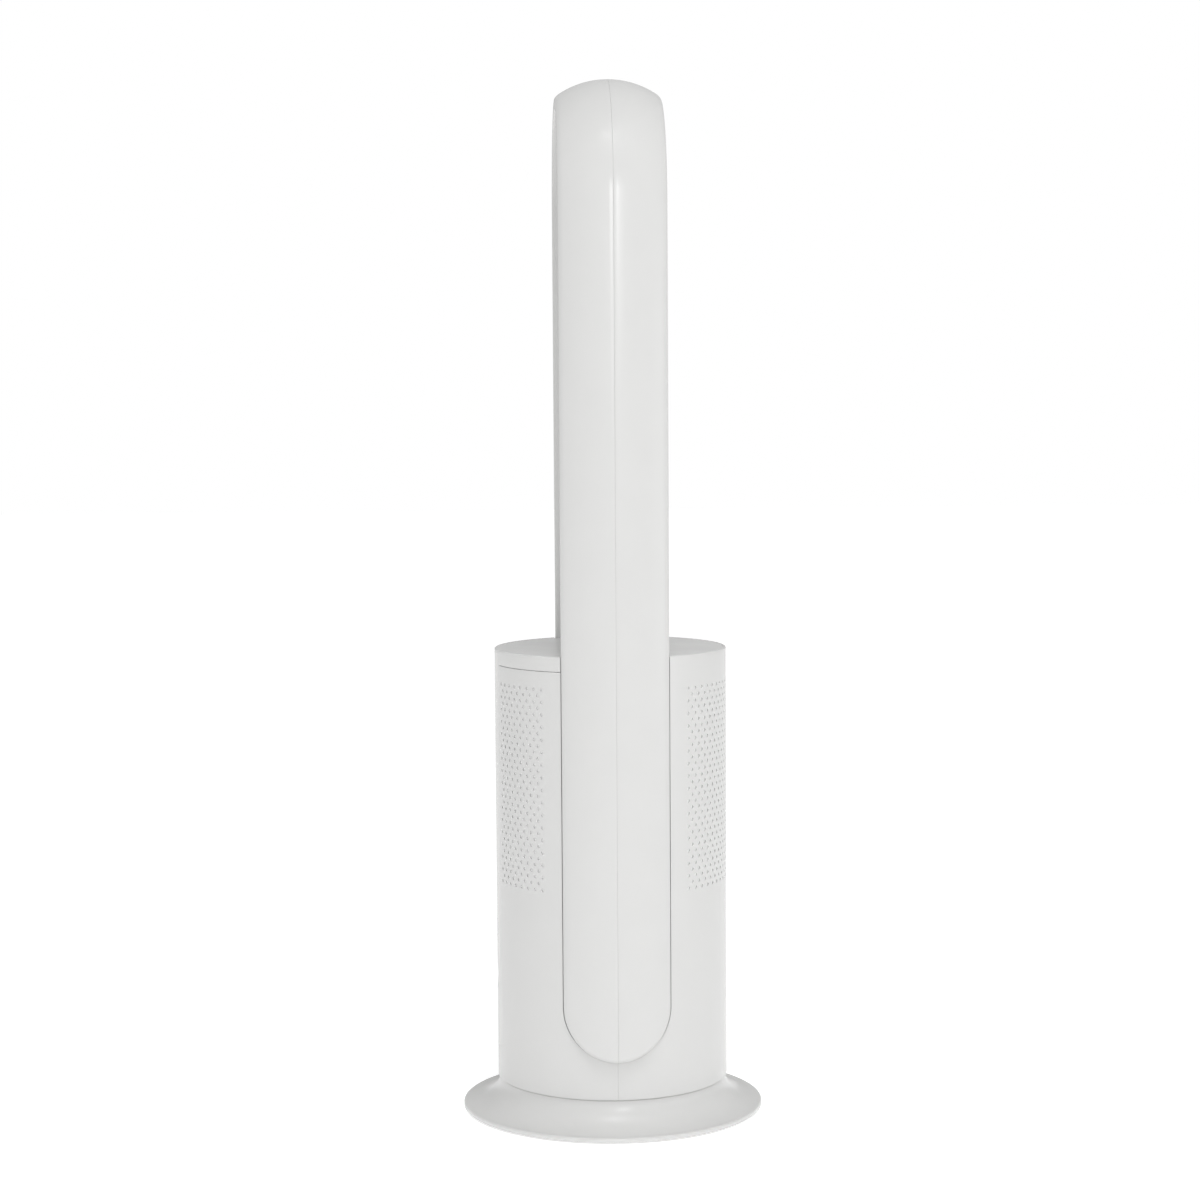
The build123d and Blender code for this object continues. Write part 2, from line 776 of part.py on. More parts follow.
# The cap is a disc inside the rear shell's rim, and its front half turns down into a skirt.
with BuildPart() as top_cap:
    add(slab(body_wall, -body_radius, -fit_gap / 2, cap_seam, cap_bottom))
    with BuildSketch(Plane.XY.offset(cap_seam)):
        with Locations((0, -body_radius)):
            Rectangle(2 * panel_half_width, body_radius)
    extrude(amount=cap_bottom - cap_seam, mode=Mode.SUBTRACT)
    add(slab(body_outside, -body_radius, 0, cap_bottom, body_top))
    add(slab(body_cap_fit, 0, body_radius, cap_bottom, body_top))
top_cap.part.label = "top_cap"
export_step(top_cap.part, "parts/top_cap.step")


def intake_screen(start, end):
    """A curved panel that fills a window, with a flange behind the window's edges."""
    gap_angle = degrees(fit_gap / body_inner)
    lip_angle = degrees(screen_lip / body_inner)
    with BuildPart() as screen:
        with BuildSketch(Plane.XY.offset(window_bottom - screen_lip)):
            add(ring_sector(screen_inner, screen_outer, start - lip_angle, end + lip_angle))
        extrude(amount=window_top - window_bottom + 2 * screen_lip)
        with BuildSketch(Plane.XY.offset(window_bottom + fit_gap)):
            add(ring_sector(screen_inner, body_radius, start + gap_angle, end - gap_angle))
        extrude(amount=window_top - window_bottom - 2 * fit_gap)
        with BuildSketch(Plane.XY.offset(window_bottom + screen_lip)):
            add(
                ring_sector(
                    screen_inner - wall, body_inner, start + lip_angle, end - lip_angle
                )
            )
        extrude(amount=window_top - window_bottom - 2 * screen_lip, mode=Mode.SUBTRACT)
    return screen.part


with BuildPart() as rear_screen:
    add(intake_screen(window_start, 180 - window_start))
rear_screen.part.label = "rear_screen"
export_step(rear_screen.part, "parts/rear_screen.step")

with BuildPart() as front_right_screen:
    add(intake_screen(-window_end, -window_start))
front_right_screen.part.label = "front_right_screen"
export_step(front_right_screen.part, "parts/front_right_screen.step")

with BuildPart() as front_left_screen:
    add(intake_screen(window_start - 180, window_end - 180))
front_left_screen.part.label = "front_left_screen"
export_step(front_left_screen.part, "parts/front_left_screen.step")

mesh_outer = screen_inner - mesh_gap
mesh_lip = degrees(screen_lip / body_inner)

with BuildPart() as rear_dust_mesh:
    with BuildSketch(Plane.XY.offset(window_bottom - screen_lip)):
        add(
            ring_sector(
                mesh_outer - mesh_thickness,
                mesh_outer,
                window_start - mesh_lip,
                180 - window_start + mesh_lip,
            )
        )
    extrude(amount=window_top - window_bottom + 2 * screen_lip)
rear_dust_mesh.part.label = "rear_dust_mesh"
export_step(rear_dust_mesh.part, "parts/rear_dust_mesh.step")

with BuildPart() as front_dust_mesh:
    with BuildSketch(Plane.XY.offset(window_bottom - screen_lip)):
        add(
            ring_sector(
                mesh_outer - mesh_thickness,
                mesh_outer,
                window_start - 180 - mesh_lip,
                mesh_lip - window_start,
            )
        )
    extrude(amount=window_top - window_bottom + 2 * screen_lip)
front_dust_mesh.part.label = "front_dust_mesh"
export_step(front_dust_mesh.part, "parts/front_dust_mesh.step")

# ---------------------------------------------------------------- air loop

loop_outside = loop_solid(0)
loop_inside = loop_solid(wall)

with BuildSketch() as band_zone_section:
    with Locations((loop_inner, (lip_start - band_front) / 2)):
        Rectangle(2 * (wall + fit_gap), lip_start + band_front)
band_zone = loop_around(band_zone_section.sketch, slot_start)


def loop_half(front):
    """The front or rear shell of the loop, with its ports and screw bosses."""
    y_side = -1 if front else 1
    with BuildPart() as shell:
        add(loop_outside)
        add(loop_inside, mode=Mode.SUBTRACT)
        add(band_zone, mode=Mode.SUBTRACT)
        for side in (-1, 1):
            with BuildSketch(Plane.YZ.offset(side * loop_inner)):
                for height in loop_screw_heights:
                    with Locations((y_side * loop_screw_y, height)):
                        Circle(loop_boss_radius)
            extrude(amount=side * loop_boss_length)
            with BuildSketch(Plane.YZ.offset(side * loop_inner)):
                for height in loop_screw_heights:
                    with Locations((y_side * loop_screw_y, height)):
                        Circle(loop_shank)
            extrude(amount=side * (loop_boss_length - wall), mode=Mode.SUBTRACT)
            with BuildSketch(Plane.YZ.offset(side * loop_inner)):
                with Locations((0, (port_bottom + port_top) / 2)):
                    Rectangle(2 * port_half_width, port_top - port_bottom)
            extrude(amount=side * (wall + fit_gap), mode=Mode.SUBTRACT)
        with BuildSketch(Plane.XZ.offset(-y_side * fit_gap / 2)):
            with Locations((0, fan_height / 2)):
                Rectangle(3 * loop_half_width, 2 * fan_height)
        extrude(amount=-y_side * loop_half_width, mode=Mode.INTERSECT)
    return shell.part


with BuildPart() as loop_front_shell:
    add(loop_half(True))
loop_front_shell.part.label = "loop_front_shell"
export_step(loop_front_shell.part, "parts/loop_front_shell.step")

with BuildPart() as loop_rear_shell:
    add(loop_half(False))
loop_rear_shell.part.label = "loop_rear_shell"
export_step(loop_rear_shell.part, "parts/loop_rear_shell.step")

# The inner band: air leaves through the slot behind it and follows its ramp to the front.
with BuildSketch() as band_section:
    with BuildLine():
        Polyline(
            (loop_inner, fit_gap - band_front),
            (loop_inner, ramp_start),
            (loop_inner + ramp_drop, lip_start),
            (loop_inner + ramp_drop, ramp_end),
            (loop_inner + ramp_drop + band_thickness, ramp_end),
            (loop_inner + ramp_drop + band_thickness, lip_start),
            (loop_inner + band_thickness, ramp_start),
            (loop_inner + band_thickness, fit_gap - band_front),
            close=True,
        )
    make_face()

with BuildPart() as loop_inner_band:
    add(loop_around(band_section.sketch, slot_start + fit_gap))
loop_inner_band.part.label = "loop_inner_band"
export_step(loop_inner_band.part, "parts/loop_inner_band.step")

with BuildPart() as loop_screws:
    for side in (-1, 1):
        for height in loop_screw_heights:
            for y_side in (-1, 1):
                with BuildSketch(Plane.YZ.offset(side * (channel_floor - wall))):
                    with Locations((y_side * loop_screw_y, height)):
                        Circle(loop_head)
                extrude(amount=-side * loop_head_height)
                with BuildSketch(Plane.YZ.offset(side * (channel_floor - wall))):
                    with Locations((y_side * loop_screw_y, height)):
                        Circle(loop_shank)
                extrude(amount=side * loop_boss_length)
loop_screws.part.label = "loop_screws"
export_step(loop_screws.part, "parts/loop_screws.step")

# ---------------------------------------------------------------- fan unit


with BuildPart() as fan_stand:
    with BuildSketch(Plane.XY.offset(bell_bottom - stand_ring)):
        Circle(stand_ring_outer)
        Circle(bell_radius, mode=Mode.SUBTRACT)
    extrude(amount=stand_ring)
    with BuildSketch(Plane.XY.offset(floor_top)):
        with PolarLocations(stand_circle, 4, start_angle=45):
            Circle(stand_leg_radius)
    extrude(amount=bell_bottom - floor_top)
    for side in (-1, 1):
        with BuildSketch(Plane.YZ.offset(side * (channel_floor - wall - fit_gap))):
            with Locations((0, bell_bottom)):
                Rectangle(2 * body_radius, 4 * stand_ring)
        extrude(amount=side * body_radius, mode=Mode.SUBTRACT)
fan_stand.part.label = "fan_stand"
export_step(fan_stand.part, "parts/fan_stand.step")

with BuildPart() as fan_shroud:
    with BuildSketch(Plane.XZ):
        with BuildLine():
            bell = ThreePointArc(
                (bell_radius, bell_bottom),
                (throat_radius + bell_bow, bell_bottom + bell_bow),
                (throat_radius, throat_height),
            )
            Line(bell @ 1, (duct_radius, duct_bottom))
            Polyline(
                (duct_radius, duct_bottom),
                (duct_radius + wall, duct_bottom),
                (throat_radius + wall, throat_height),
            )
            back = ThreePointArc(
                (throat_radius + wall, throat_height),
                (throat_radius + bell_bow + wall, bell_bottom + bell_bow + wall),
                (bell_lip, bell_bottom + wall),
            )
            Polyline(back @ 1, (bell_lip, bell_bottom), bell @ 0)
        make_face()
    revolve(axis=Axis.Z)
fan_shroud.part.label = "fan_shroud"
export_step(fan_shroud.part, "parts/fan_shroud.step")


with BuildPart() as impeller_blade:
    with BuildSketch(Plane.XZ):
        with BuildLine():
            Polyline(
                (hub_start - wall, impeller_bottom),
                (throat_radius - tip_gap, impeller_bottom),
                (tip_radius, impeller_top),
                (hub_end - wall, impeller_top),
                close=True,
            )
        make_face()
    revolve(axis=Axis.Z)
    with Locations((0, 0, (impeller_bottom + impeller_top) / 2)):
        Box(
            duct_radius,
            blade_thickness,
            2 * (impeller_top - impeller_bottom),
            rotation=(blade_angle, 0, 0),
            align=(Align.MIN, Align.CENTER, Align.CENTER),
            mode=Mode.INTERSECT,
        )

with BuildPart() as impeller:
    with BuildSketch(Plane.XZ):
        with BuildLine():
            Polyline(
                (shaft_radius, impeller_bottom),
                (hub_start, impeller_bottom),
                (hub_end, impeller_top),
                (hub_end - wall, impeller_top),
                (hub_start, impeller_bottom + 2 * wall),
                (hub_boss_radius, impeller_bottom + 2 * wall),
                (hub_boss_radius, impeller_bottom + hub_boss_height),
                (shaft_radius, impeller_bottom + hub_boss_height),
                close=True,
            )
        make_face()
    revolve(axis=Axis.Z)
    with PolarLocations(0, blade_count):
        add(impeller_blade.part)
impeller.part.label = "impeller"
export_step(impeller.part, "parts/impeller.step")

with BuildPart() as impeller_nut:
    with BuildSketch(Plane.XY.offset(impeller_bottom)):
        RegularPolygon(nut_radius, 6)
        Circle(shaft_radius, mode=Mode.SUBTRACT)
    extrude(amount=-nut_height)
impeller_nut.part.label = "impeller_nut"
export_step(impeller_nut.part, "parts/impeller_nut.step")

with BuildPart() as motor_shaft:
    with BuildSketch(Plane.XY.offset(impeller_bottom - nut_height)):
        Circle(shaft_radius)
    extrude(amount=mount_plate_bottom - impeller_bottom + nut_height)
motor_shaft.part.label = "motor_shaft"
export_step(motor_shaft.part, "parts/motor_shaft.step")

with BuildPart() as rotor_can:
    with BuildSketch(Plane.XY.offset(can_bottom)):
        Circle(can_radius)
        Circle(shaft_radius, mode=Mode.SUBTRACT)
    extrude(amount=can_wall)
    with BuildSketch(Plane.XY.offset(can_bottom + can_wall)):
        Circle(can_radius)
        Circle(can_inner, mode=Mode.SUBTRACT)
    extrude(amount=can_height - can_wall)
rotor_can.part.label = "rotor_can"
export_step(rotor_can.part, "parts/rotor_can.step")

with BuildPart() as rotor_magnet:
    with BuildSketch(Plane.XY.offset(can_bottom + 2 * can_wall)):
        Circle(can_inner)
        Circle(magnet_inner, mode=Mode.SUBTRACT)
    extrude(amount=can_height - 3 * can_wall)
rotor_magnet.part.label = "rotor_magnet"
export_step(rotor_magnet.part, "parts/rotor_magnet.step")

stator_bottom = can_bottom + stator_inset
stator_height = can_height - 1.5 * stator_inset

with BuildPart() as motor_stator:
    with BuildSketch(Plane.XY.offset(stator_bottom)):
        Circle(mount_tube_radius + stator_ring)
        with PolarLocations((mount_tube_radius + stator_radius) / 2, tooth_count):
            Rectangle(stator_radius - mount_tube_radius, tooth_width)
        Circle(mount_tube_radius, mode=Mode.SUBTRACT)
    extrude(amount=stator_height)
    with BuildSketch(Plane.XY.offset(stator_bottom)):
        Circle(stator_radius)
    extrude(amount=stator_height, mode=Mode.INTERSECT)
motor_stator.part.label = "motor_stator"
export_step(motor_stator.part, "parts/motor_stator.step")

winding_start = mount_tube_radius + stator_ring + winding_gap
winding_length = stator_radius - winding_start - winding_inset

with BuildPart() as motor_windings:
    with BuildSketch(Plane.XY.offset(stator_bottom - winding_thickness)):
        with PolarLocations(winding_start + winding_length / 2, tooth_count):
            Rectangle(winding_length, tooth_width + 2 * winding_thickness)
    extrude(amount=stator_height + 2 * winding_thickness)
    with BuildSketch(Plane.XY.offset(stator_bottom)):
        with PolarLocations(winding_start + winding_length / 2, tooth_count):
            Rectangle(2 * winding_length, tooth_width)
    extrude(amount=stator_height, mode=Mode.SUBTRACT)
motor_windings.part.label = "motor_windings"
export_step(motor_windings.part, "parts/motor_windings.step")

with BuildPart() as motor_mount:
    with BuildSketch(Plane.XY.offset(stator_bottom - winding_thickness)):
        Circle(mount_tube_radius)
        Circle(bearing_radius, mode=Mode.SUBTRACT)
    extrude(amount=mount_plate_bottom - stator_bottom + winding_thickness)
    with BuildSketch(Plane.XY.offset(mount_plate_bottom)):
        Circle(mount_plate_radius)
        Circle(bearing_radius, mode=Mode.SUBTRACT)
        with PolarLocations(isolator_circle, isolator_count):
            Circle(screw_shank, mode=Mode.SUBTRACT)
    extrude(amount=mount_plate_thickness)
motor_mount.part.label = "motor_mount"
export_step(motor_mount.part, "parts/motor_mount.step")

with BuildPart() as motor_bearings:
    for bottom in (stator_bottom - winding_thickness, mount_plate_bottom - bearing_height):
        with BuildSketch(Plane.XY.offset(bottom)):
            Circle(bearing_radius)
            Circle(shaft_radius + bearing_gap, mode=Mode.SUBTRACT)
        extrude(amount=bearing_height)
motor_bearings.part.label = "motor_bearings"
export_step(motor_bearings.part, "parts/motor_bearings.step")

with BuildPart() as motor_driver_board:
    with BuildSketch(Plane.XY.offset(can_bottom + can_height + stator_inset / 2)):
        Circle(stator_radius)
        Circle(mount_tube_radius, mode=Mode.SUBTRACT)
    extrude(amount=board_thickness)
motor_driver_board.part.label = "motor_driver_board"
export_step(motor_driver_board.part, "parts/motor_driver_board.step")

isolator_top = motor_floor + wall + isolator_head

with BuildPart() as motor_isolators:
    for radius, bottom, top in (
        (isolator_flange, mount_plate_top, motor_floor),
        (isolator_neck, motor_floor, motor_floor + wall),
        (isolator_flange, motor_floor + wall, isolator_top),
    ):
        with BuildSketch(Plane.XY.offset(bottom)):
            with PolarLocations(isolator_circle, isolator_count):
                Circle(radius)
                Circle(screw_shank + fit_gap, mode=Mode.SUBTRACT)
        extrude(amount=top - bottom)
motor_isolators.part.label = "motor_isolators"
export_step(motor_isolators.part, "parts/motor_isolators.step")

with BuildPart() as motor_screws:
    with BuildSketch(Plane.XY.offset(mount_plate_bottom)):
        with PolarLocations(isolator_circle, isolator_count):
            Circle(screw_shank)
    extrude(amount=isolator_top - mount_plate_bottom)
    with BuildSketch(Plane.XY.offset(isolator_top)):
        with PolarLocations(isolator_circle, isolator_count):
            Circle(screw_head)
    extrude(amount=screw_head_height)
motor_screws.part.label = "motor_screws"
export_step(motor_screws.part, "parts/motor_screws.step")

with BuildPart() as diffuser_vane:
    with BuildSketch(Plane.XY.offset(vane_bottom)):
        Circle(duct_radius + wall / 2)
        Circle(hub_end - wall / 2, mode=Mode.SUBTRACT)
    extrude(amount=vane_top - vane_bottom)
    with Locations((0, 0, (vane_bottom + vane_top) / 2)):
        Box(
            2 * duct_radius,
            blade_thickness,
            2 * (vane_top - vane_bottom),
            rotation=(vane_angle, 0, 0),
            align=(Align.MIN, Align.CENTER, Align.CENTER),
            mode=Mode.INTERSECT,
        )

with BuildPart() as diffuser:
    with BuildSketch(Plane.XY.offset(duct_bottom)):
        Circle(duct_radius + wall)
        Circle(duct_radius, mode=Mode.SUBTRACT)
    extrude(amount=duct_top - duct_bottom)
    with BuildSketch(Plane.XY.offset(duct_bottom - 1)):
        Circle(hub_end)
        Circle(hub_end - wall, mode=Mode.SUBTRACT)
    extrude(amount=vane_top - duct_bottom + 1)
    with BuildSketch(Plane.XY.offset(motor_floor)):
        Circle(hub_end)
        with PolarLocations(isolator_circle, isolator_count):
            Circle(isolator_neck, mode=Mode.SUBTRACT)
    extrude(amount=wall)
    with PolarLocations(0, vane_count):
        add(diffuser_vane.part)
diffuser.part.label = "diffuser"
export_step(diffuser.part, "parts/diffuser.step")

with BuildPart() as tail_cone:
    with BuildSketch(Plane.XZ):
        with BuildLine():
            Polyline(
                (hub_end, vane_top),
                (tail_tip, vane_top + tail_height),
                (0, vane_top + tail_height),
                (0, vane_top + tail_height - wall),
                (tail_tip, vane_top + tail_height - wall),
                (hub_end - 3 * wall, vane_top),
                close=True,
            )
        make_face()
    revolve(axis=Axis.Z)
tail_cone.part.label = "tail_cone"
export_step(tail_cone.part, "parts/tail_cone.step")

with BuildPart() as plenum:
    with BuildSketch(Plane.XY.offset(duct_top)):
        Circle(duct_radius + wall)
    extrude(amount=plenum_top - duct_top)
    with BuildSketch(Plane.XY.offset(port_bottom - port_frame)):
        Rectangle(2 * spout_end, 2 * (port_half_width + port_frame))
    extrude(amount=port_top - port_bottom + 2 * port_frame)
    with BuildSketch(Plane.XY.offset(duct_top)):
        Circle(duct_radius)
    extrude(amount=plenum_top - duct_top - wall, mode=Mode.SUBTRACT)
    with BuildSketch(Plane.XY.offset(port_bottom)):
        Rectangle(3 * spout_end, 2 * port_half_width)
    extrude(amount=port_top - port_bottom, mode=Mode.SUBTRACT)
plenum.part.label = "plenum"
export_step(plenum.part, "parts/plenum.step")

with BuildPart() as leg_seals:
    for side in (-1, 1):
        with BuildSketch(Plane.YZ.offset(side * spout_end)):
            with Locations((0, (port_bottom + port_top) / 2)):
                Rectangle(
                    2 * (port_half_width + port_frame), port_top - port_bottom + 2 * port_frame
                )
                Rectangle(2 * port_half_width, port_top - port_bottom, mode=Mode.SUBTRACT)
        extrude(amount=side * (loop_inner - spout_end))
leg_seals.part.label = "leg_seals"
export_step(leg_seals.part, "parts/leg_seals.step")

# ---------------------------------------------------------------- controls and electrics

with BuildPart() as power_button:
    with BuildSketch(Plane.XZ.offset(lip_front - button_lip_thickness)):
        with Locations((0, button_height)):
            Circle(button_radius)
    extrude(amount=button_face - lip_front + button_lip_thickness)
    chamfer(power_button.edges().group_by(Axis.Y)[0], button_gap)
    with BuildSketch(Plane.XZ.offset(lip_front - button_lip_thickness)):
        with Locations((0, button_height)):
            Circle(button_lip_radius)
    extrude(amount=button_lip_thickness)
    with BuildSketch(Plane.XZ.offset(switch_top + button_travel + turn_gap)):
        with Locations((0, button_height)):
            Circle(button_stem_radius)
    extrude(amount=lip_front - switch_top - button_travel - turn_gap)
power_button.part.label = "power_button"
export_step(power_button.part, "parts/power_button.step")

with BuildPart() as tact_switch:
    with BuildSketch(Plane.XZ.offset(board_face)):
        with Locations((0, button_height)):
            Rectangle(switch_size, switch_size)
    extrude(amount=switch_height)
    with BuildSketch(Plane.XZ.offset(board_face + switch_height)):
        with Locations((0, button_height)):
            Circle(plunger_radius)
    extrude(amount=plunger_height)
tact_switch.part.label = "tact_switch"
export_step(tact_switch.part, "parts/tact_switch.step")

with BuildPart() as control_board:
    with BuildSketch(Plane.XZ.offset(board_back)):
        with Locations((0, (board_bottom + board_top) / 2)):
            Rectangle(2 * board_half_width, board_top - board_bottom)
        with Locations(*board_screw_places):
            Circle(screw_shank, mode=Mode.SUBTRACT)
    extrude(amount=board_thickness)
control_board.part.label = "control_board"
export_step(control_board.part, "parts/control_board.step")

with BuildPart() as board_screws:
    with BuildSketch(Plane.XZ.offset(board_back)):
        with Locations(*board_screw_places):
            Circle(screw_shank)
    extrude(amount=board_thickness + 2 * wall)
    with BuildSketch(Plane.XZ.offset(board_back)):
        with Locations(*board_screw_places):
            Circle(screw_head)
    extrude(amount=-screw_head_height)
board_screws.part.label = "board_screws"
export_step(board_screws.part, "parts/board_screws.step")

with BuildPart() as display_lens:
    with BuildSketch(Plane.XY.offset(lens_centre - lens_height)):
        Circle(body_radius)
        Circle(body_inner + fit_gap, mode=Mode.SUBTRACT)
    extrude(amount=2 * lens_height)
    with BuildSketch(Plane.XZ.offset(board_face)):
        with Locations((0, lens_centre)):
            RectangleRounded(lens_width, lens_height, lens_corner - fit_gap)
    extrude(amount=body_radius, mode=Mode.INTERSECT)
display_lens.part.label = "display_lens"
export_step(display_lens.part, "parts/display_lens.step")

with BuildPart() as display_module:
    with BuildSketch(Plane.XZ.offset(board_face)):
        with Locations((0, lens_centre)):
            Rectangle(lens_width - module_margin, lens_height - module_margin)
    extrude(amount=body_inner - board_face - module_margin)
display_module.part.label = "display_module"
export_step(display_module.part, "parts/display_module.step")

with BuildPart() as power_board:
    with BuildSketch(Plane.XZ.offset(-power_board_y)):
        with Locations((0, floor_top + power_board_height / 2)):
            Rectangle(2 * power_board_half_width, power_board_height)
    extrude(amount=-board_thickness)
power_board.part.label = "power_board"
export_step(power_board.part, "parts/power_board.step")

with BuildPart() as board_components:
    with BuildSketch(Plane.XZ.offset(-power_board_y)):
        with Locations((-power_board_half_width / 3, floor_top + 2 * power_board_height / 3)):
            Rectangle(transformer_size[0], transformer_size[2])
    extrude(amount=transformer_size[1])
    with BuildSketch(Plane.XZ.offset(-power_board_y)):
        with Locations(
            (power_board_half_width / 2, floor_top + power_board_height / 2),
            (power_board_half_width / 2, floor_top + 3 * power_board_height / 4),
        ):
            Circle(capacitor_radius)
    extrude(amount=capacitor_height)
board_components.part.label = "board_components"
export_step(board_components.part, "parts/board_components.step")

with BuildPart() as power_inlet:
    with BuildSketch(Plane.XZ.offset(-inlet_face)):
        with Locations((0, inlet_height)):
            RectangleRounded(inlet_width, inlet_tall, inlet_corner - fit_gap)
    extrude(amount=inlet_depth)
    with BuildSketch(Plane.XZ.offset(-inlet_face)):
        with Locations((0, inlet_height)):
            SlotCenterToCenter(inlet_pin_pitch, inlet_slot_tall)
    extrude(amount=inlet_recess, mode=Mode.SUBTRACT)
power_inlet.part.label = "power_inlet"
export_step(power_inlet.part, "parts/power_inlet.step")

with BuildPart() as inlet_pins:
    with BuildSketch(Plane.XZ.offset(inlet_recess - inlet_face)):
        for side in (-1, 1):
            with Locations((side * inlet_pin_pitch / 2, inlet_height)):
                Circle(inlet_pin_radius)
    extrude(amount=wall / 2 - inlet_recess)
inlet_pins.part.label = "inlet_pins"
export_step(inlet_pins.part, "parts/inlet_pins.step")
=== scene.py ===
# %% [markdown]
# # A bladeless tower fan
#
# The fan stands on a flared disc, draws air in through a perforated round body and lets it out of
# a tall loop. Its measured CAD model is already packed as a fixed frame. Blender's work is the
# looks: finer skins for the moulded covers, a finish for every piece, light and a camera.
#
# Everything sits in the frame's own place, in metres. The shapes are worked out in millimetres.

import bpy
import numpy as np
from mathutils import Matrix, Vector


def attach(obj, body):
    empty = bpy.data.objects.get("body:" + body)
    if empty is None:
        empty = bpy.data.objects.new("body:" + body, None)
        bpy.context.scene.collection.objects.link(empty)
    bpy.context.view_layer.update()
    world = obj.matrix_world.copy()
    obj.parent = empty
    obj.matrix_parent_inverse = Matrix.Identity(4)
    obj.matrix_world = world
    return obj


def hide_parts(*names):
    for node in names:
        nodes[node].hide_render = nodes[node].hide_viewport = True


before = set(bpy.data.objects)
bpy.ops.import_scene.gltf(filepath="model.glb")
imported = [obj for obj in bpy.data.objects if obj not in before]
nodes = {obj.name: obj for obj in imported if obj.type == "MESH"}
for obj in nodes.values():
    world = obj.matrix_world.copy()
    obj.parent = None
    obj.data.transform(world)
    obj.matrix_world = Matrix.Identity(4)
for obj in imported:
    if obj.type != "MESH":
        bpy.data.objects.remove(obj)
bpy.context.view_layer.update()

# %% [markdown]
# ## The fan's sizes
#
# These are the sizes of the real covers. Walls of a moulded cover are all about 2.5 mm, because an
# even wall cools without sink marks. Keeping sizes as named values lets each shape be one formula.

# %% Name the sizes, in millimetres
WALL = 2.5
BASE_RADIUS, RIM_TOP, DECK_TOP, DECK_RADIUS, FLARE_FOOT = 140.0, 5.5, 30.6, 106.0, 137.0
BODY_RADIUS, BODY_BOTTOM, BODY_TOP, CAP_SEAM, CAP_UNDER = 107.5, 31.0, 432.5, 419.0, 430.0
BED_X, BED_HALF, BED_CENTRE = 87.7, 49.05, 114.5
PANEL_HALF, PANEL_BOTTOM = 28.0, 62.0
LOOP_TOP, LOOP_HALF_WIDTH, LOOP_HALF_DEPTH, LOOP_BULGE = 953.0, 115.0, 48.5, 16.0
LOOP_INNER, LOOP_EDGE, ARCH_CENTRE, SLOT_START = 88.0, 4.5, 838.0, 440.0
print("fan height", LOOP_TOP, "mm, body", 2 * BODY_RADIUS, "mm across, base", 2 * BASE_RADIUS, "mm")

# %% [markdown]
# ## From numbers to surfaces
#
# A surface here is a grid of points, computed as whole arrays, with a quad between each four
# neighbours. Larger surfaces are several such grids side by side, whose shared points are merged.
# Modelling by hand would be quicker for one cover, but a formula repeats exactly on the next one.

# %% Grids of points
def grid_quads(rows, columns, wrap=False):
    """Corner numbers of the quads between neighbouring rows and columns, counted row by row."""
    number = np.arange(rows * columns).reshape(rows, columns)
    if wrap:
        number = np.hstack([number, number[:, :1]])
    corners = (number[:-1, :-1], number[:-1, 1:], number[1:, 1:], number[1:, :-1])
    return np.stack(corners, axis=-1).reshape(-1, 4)


def grid_sheet(grid, wrap=False):
    """A grid of points as a pair: the points in one list, and the quads between them."""
    return grid.reshape(-1, 3), grid_quads(*grid.shape[:2], wrap=wrap)


def joined(*sheets):
    """Several (points, quads) pairs as one pair."""
    counts = np.cumsum([0] + [len(points) for points, _ in sheets])
    quads = [quads + first for (_, quads), first in zip(sheets, counts)]
    return np.vstack([points for points, _ in sheets]), np.vstack(quads)


def flipped_over_x(points, quads):
    """The mirror image across the plane x = 0, with its faces turned outwards again."""
    return points * (-1, 1, 1), quads[:, ::-1]


def flipped_over_y(points, quads):
    """The mirror image across the plane y = 0, with its faces turned outwards again."""
    return points * (1, -1, 1), quads[:, ::-1]


print("a grid of 3 by 4 points has", len(grid_quads(3, 4)), "quads")

# %% [markdown]
# ## From surfaces to closed walls
#
# Two surfaces with the same quads, one for the outside and one for the inside of a wall, make a
# closed moulded cover once a band of faces joins their free edges. Solidify could give the wall its
# thickness, but here the inside comes from the same formula as the outside, so that corners keep
# an even wall.

# %% Walls and mesh objects


def merged(points, quads):
    """Points nearer than a thousandth of a millimetre become one, and the quads follow them."""
    _, kept, renamed = np.unique(
        np.round(points, 3), axis=0, return_index=True, return_inverse=True
    )
    return kept, renamed.reshape(-1)[quads]


def without_slivers(quads):
    """Drops quads that a merge has closed up, which have fewer than three different corners."""
    ordered = np.sort(quads, axis=1)
    return quads[(np.diff(ordered, axis=1) != 0).sum(axis=1) >= 2]


def closed_wall(outside, inside, quads):
    """The outside, the inside turned over, and a band of quads along every free edge."""
    kept, quads = merged(outside, quads)
    quads = without_slivers(quads)
    outside, inside, count = outside[kept], inside[kept], len(kept)
    ends = np.roll(quads, -1, axis=1)
    edges = np.stack([quads, ends], axis=-1).reshape(-1, 2)
    edges = edges[edges[:, 0] != edges[:, 1]]
    key, back = edges[:, 0] * count + edges[:, 1], edges[:, 1] * count + edges[:, 0]
    a, b = edges[~np.isin(key, back)].T
    band = np.stack([b, a, a + count, b + count], axis=-1)
    return np.vstack([outside, inside]), np.vstack([quads, quads[:, ::-1] + count, band])


SHARP_ANGLE = np.radians(35.0)


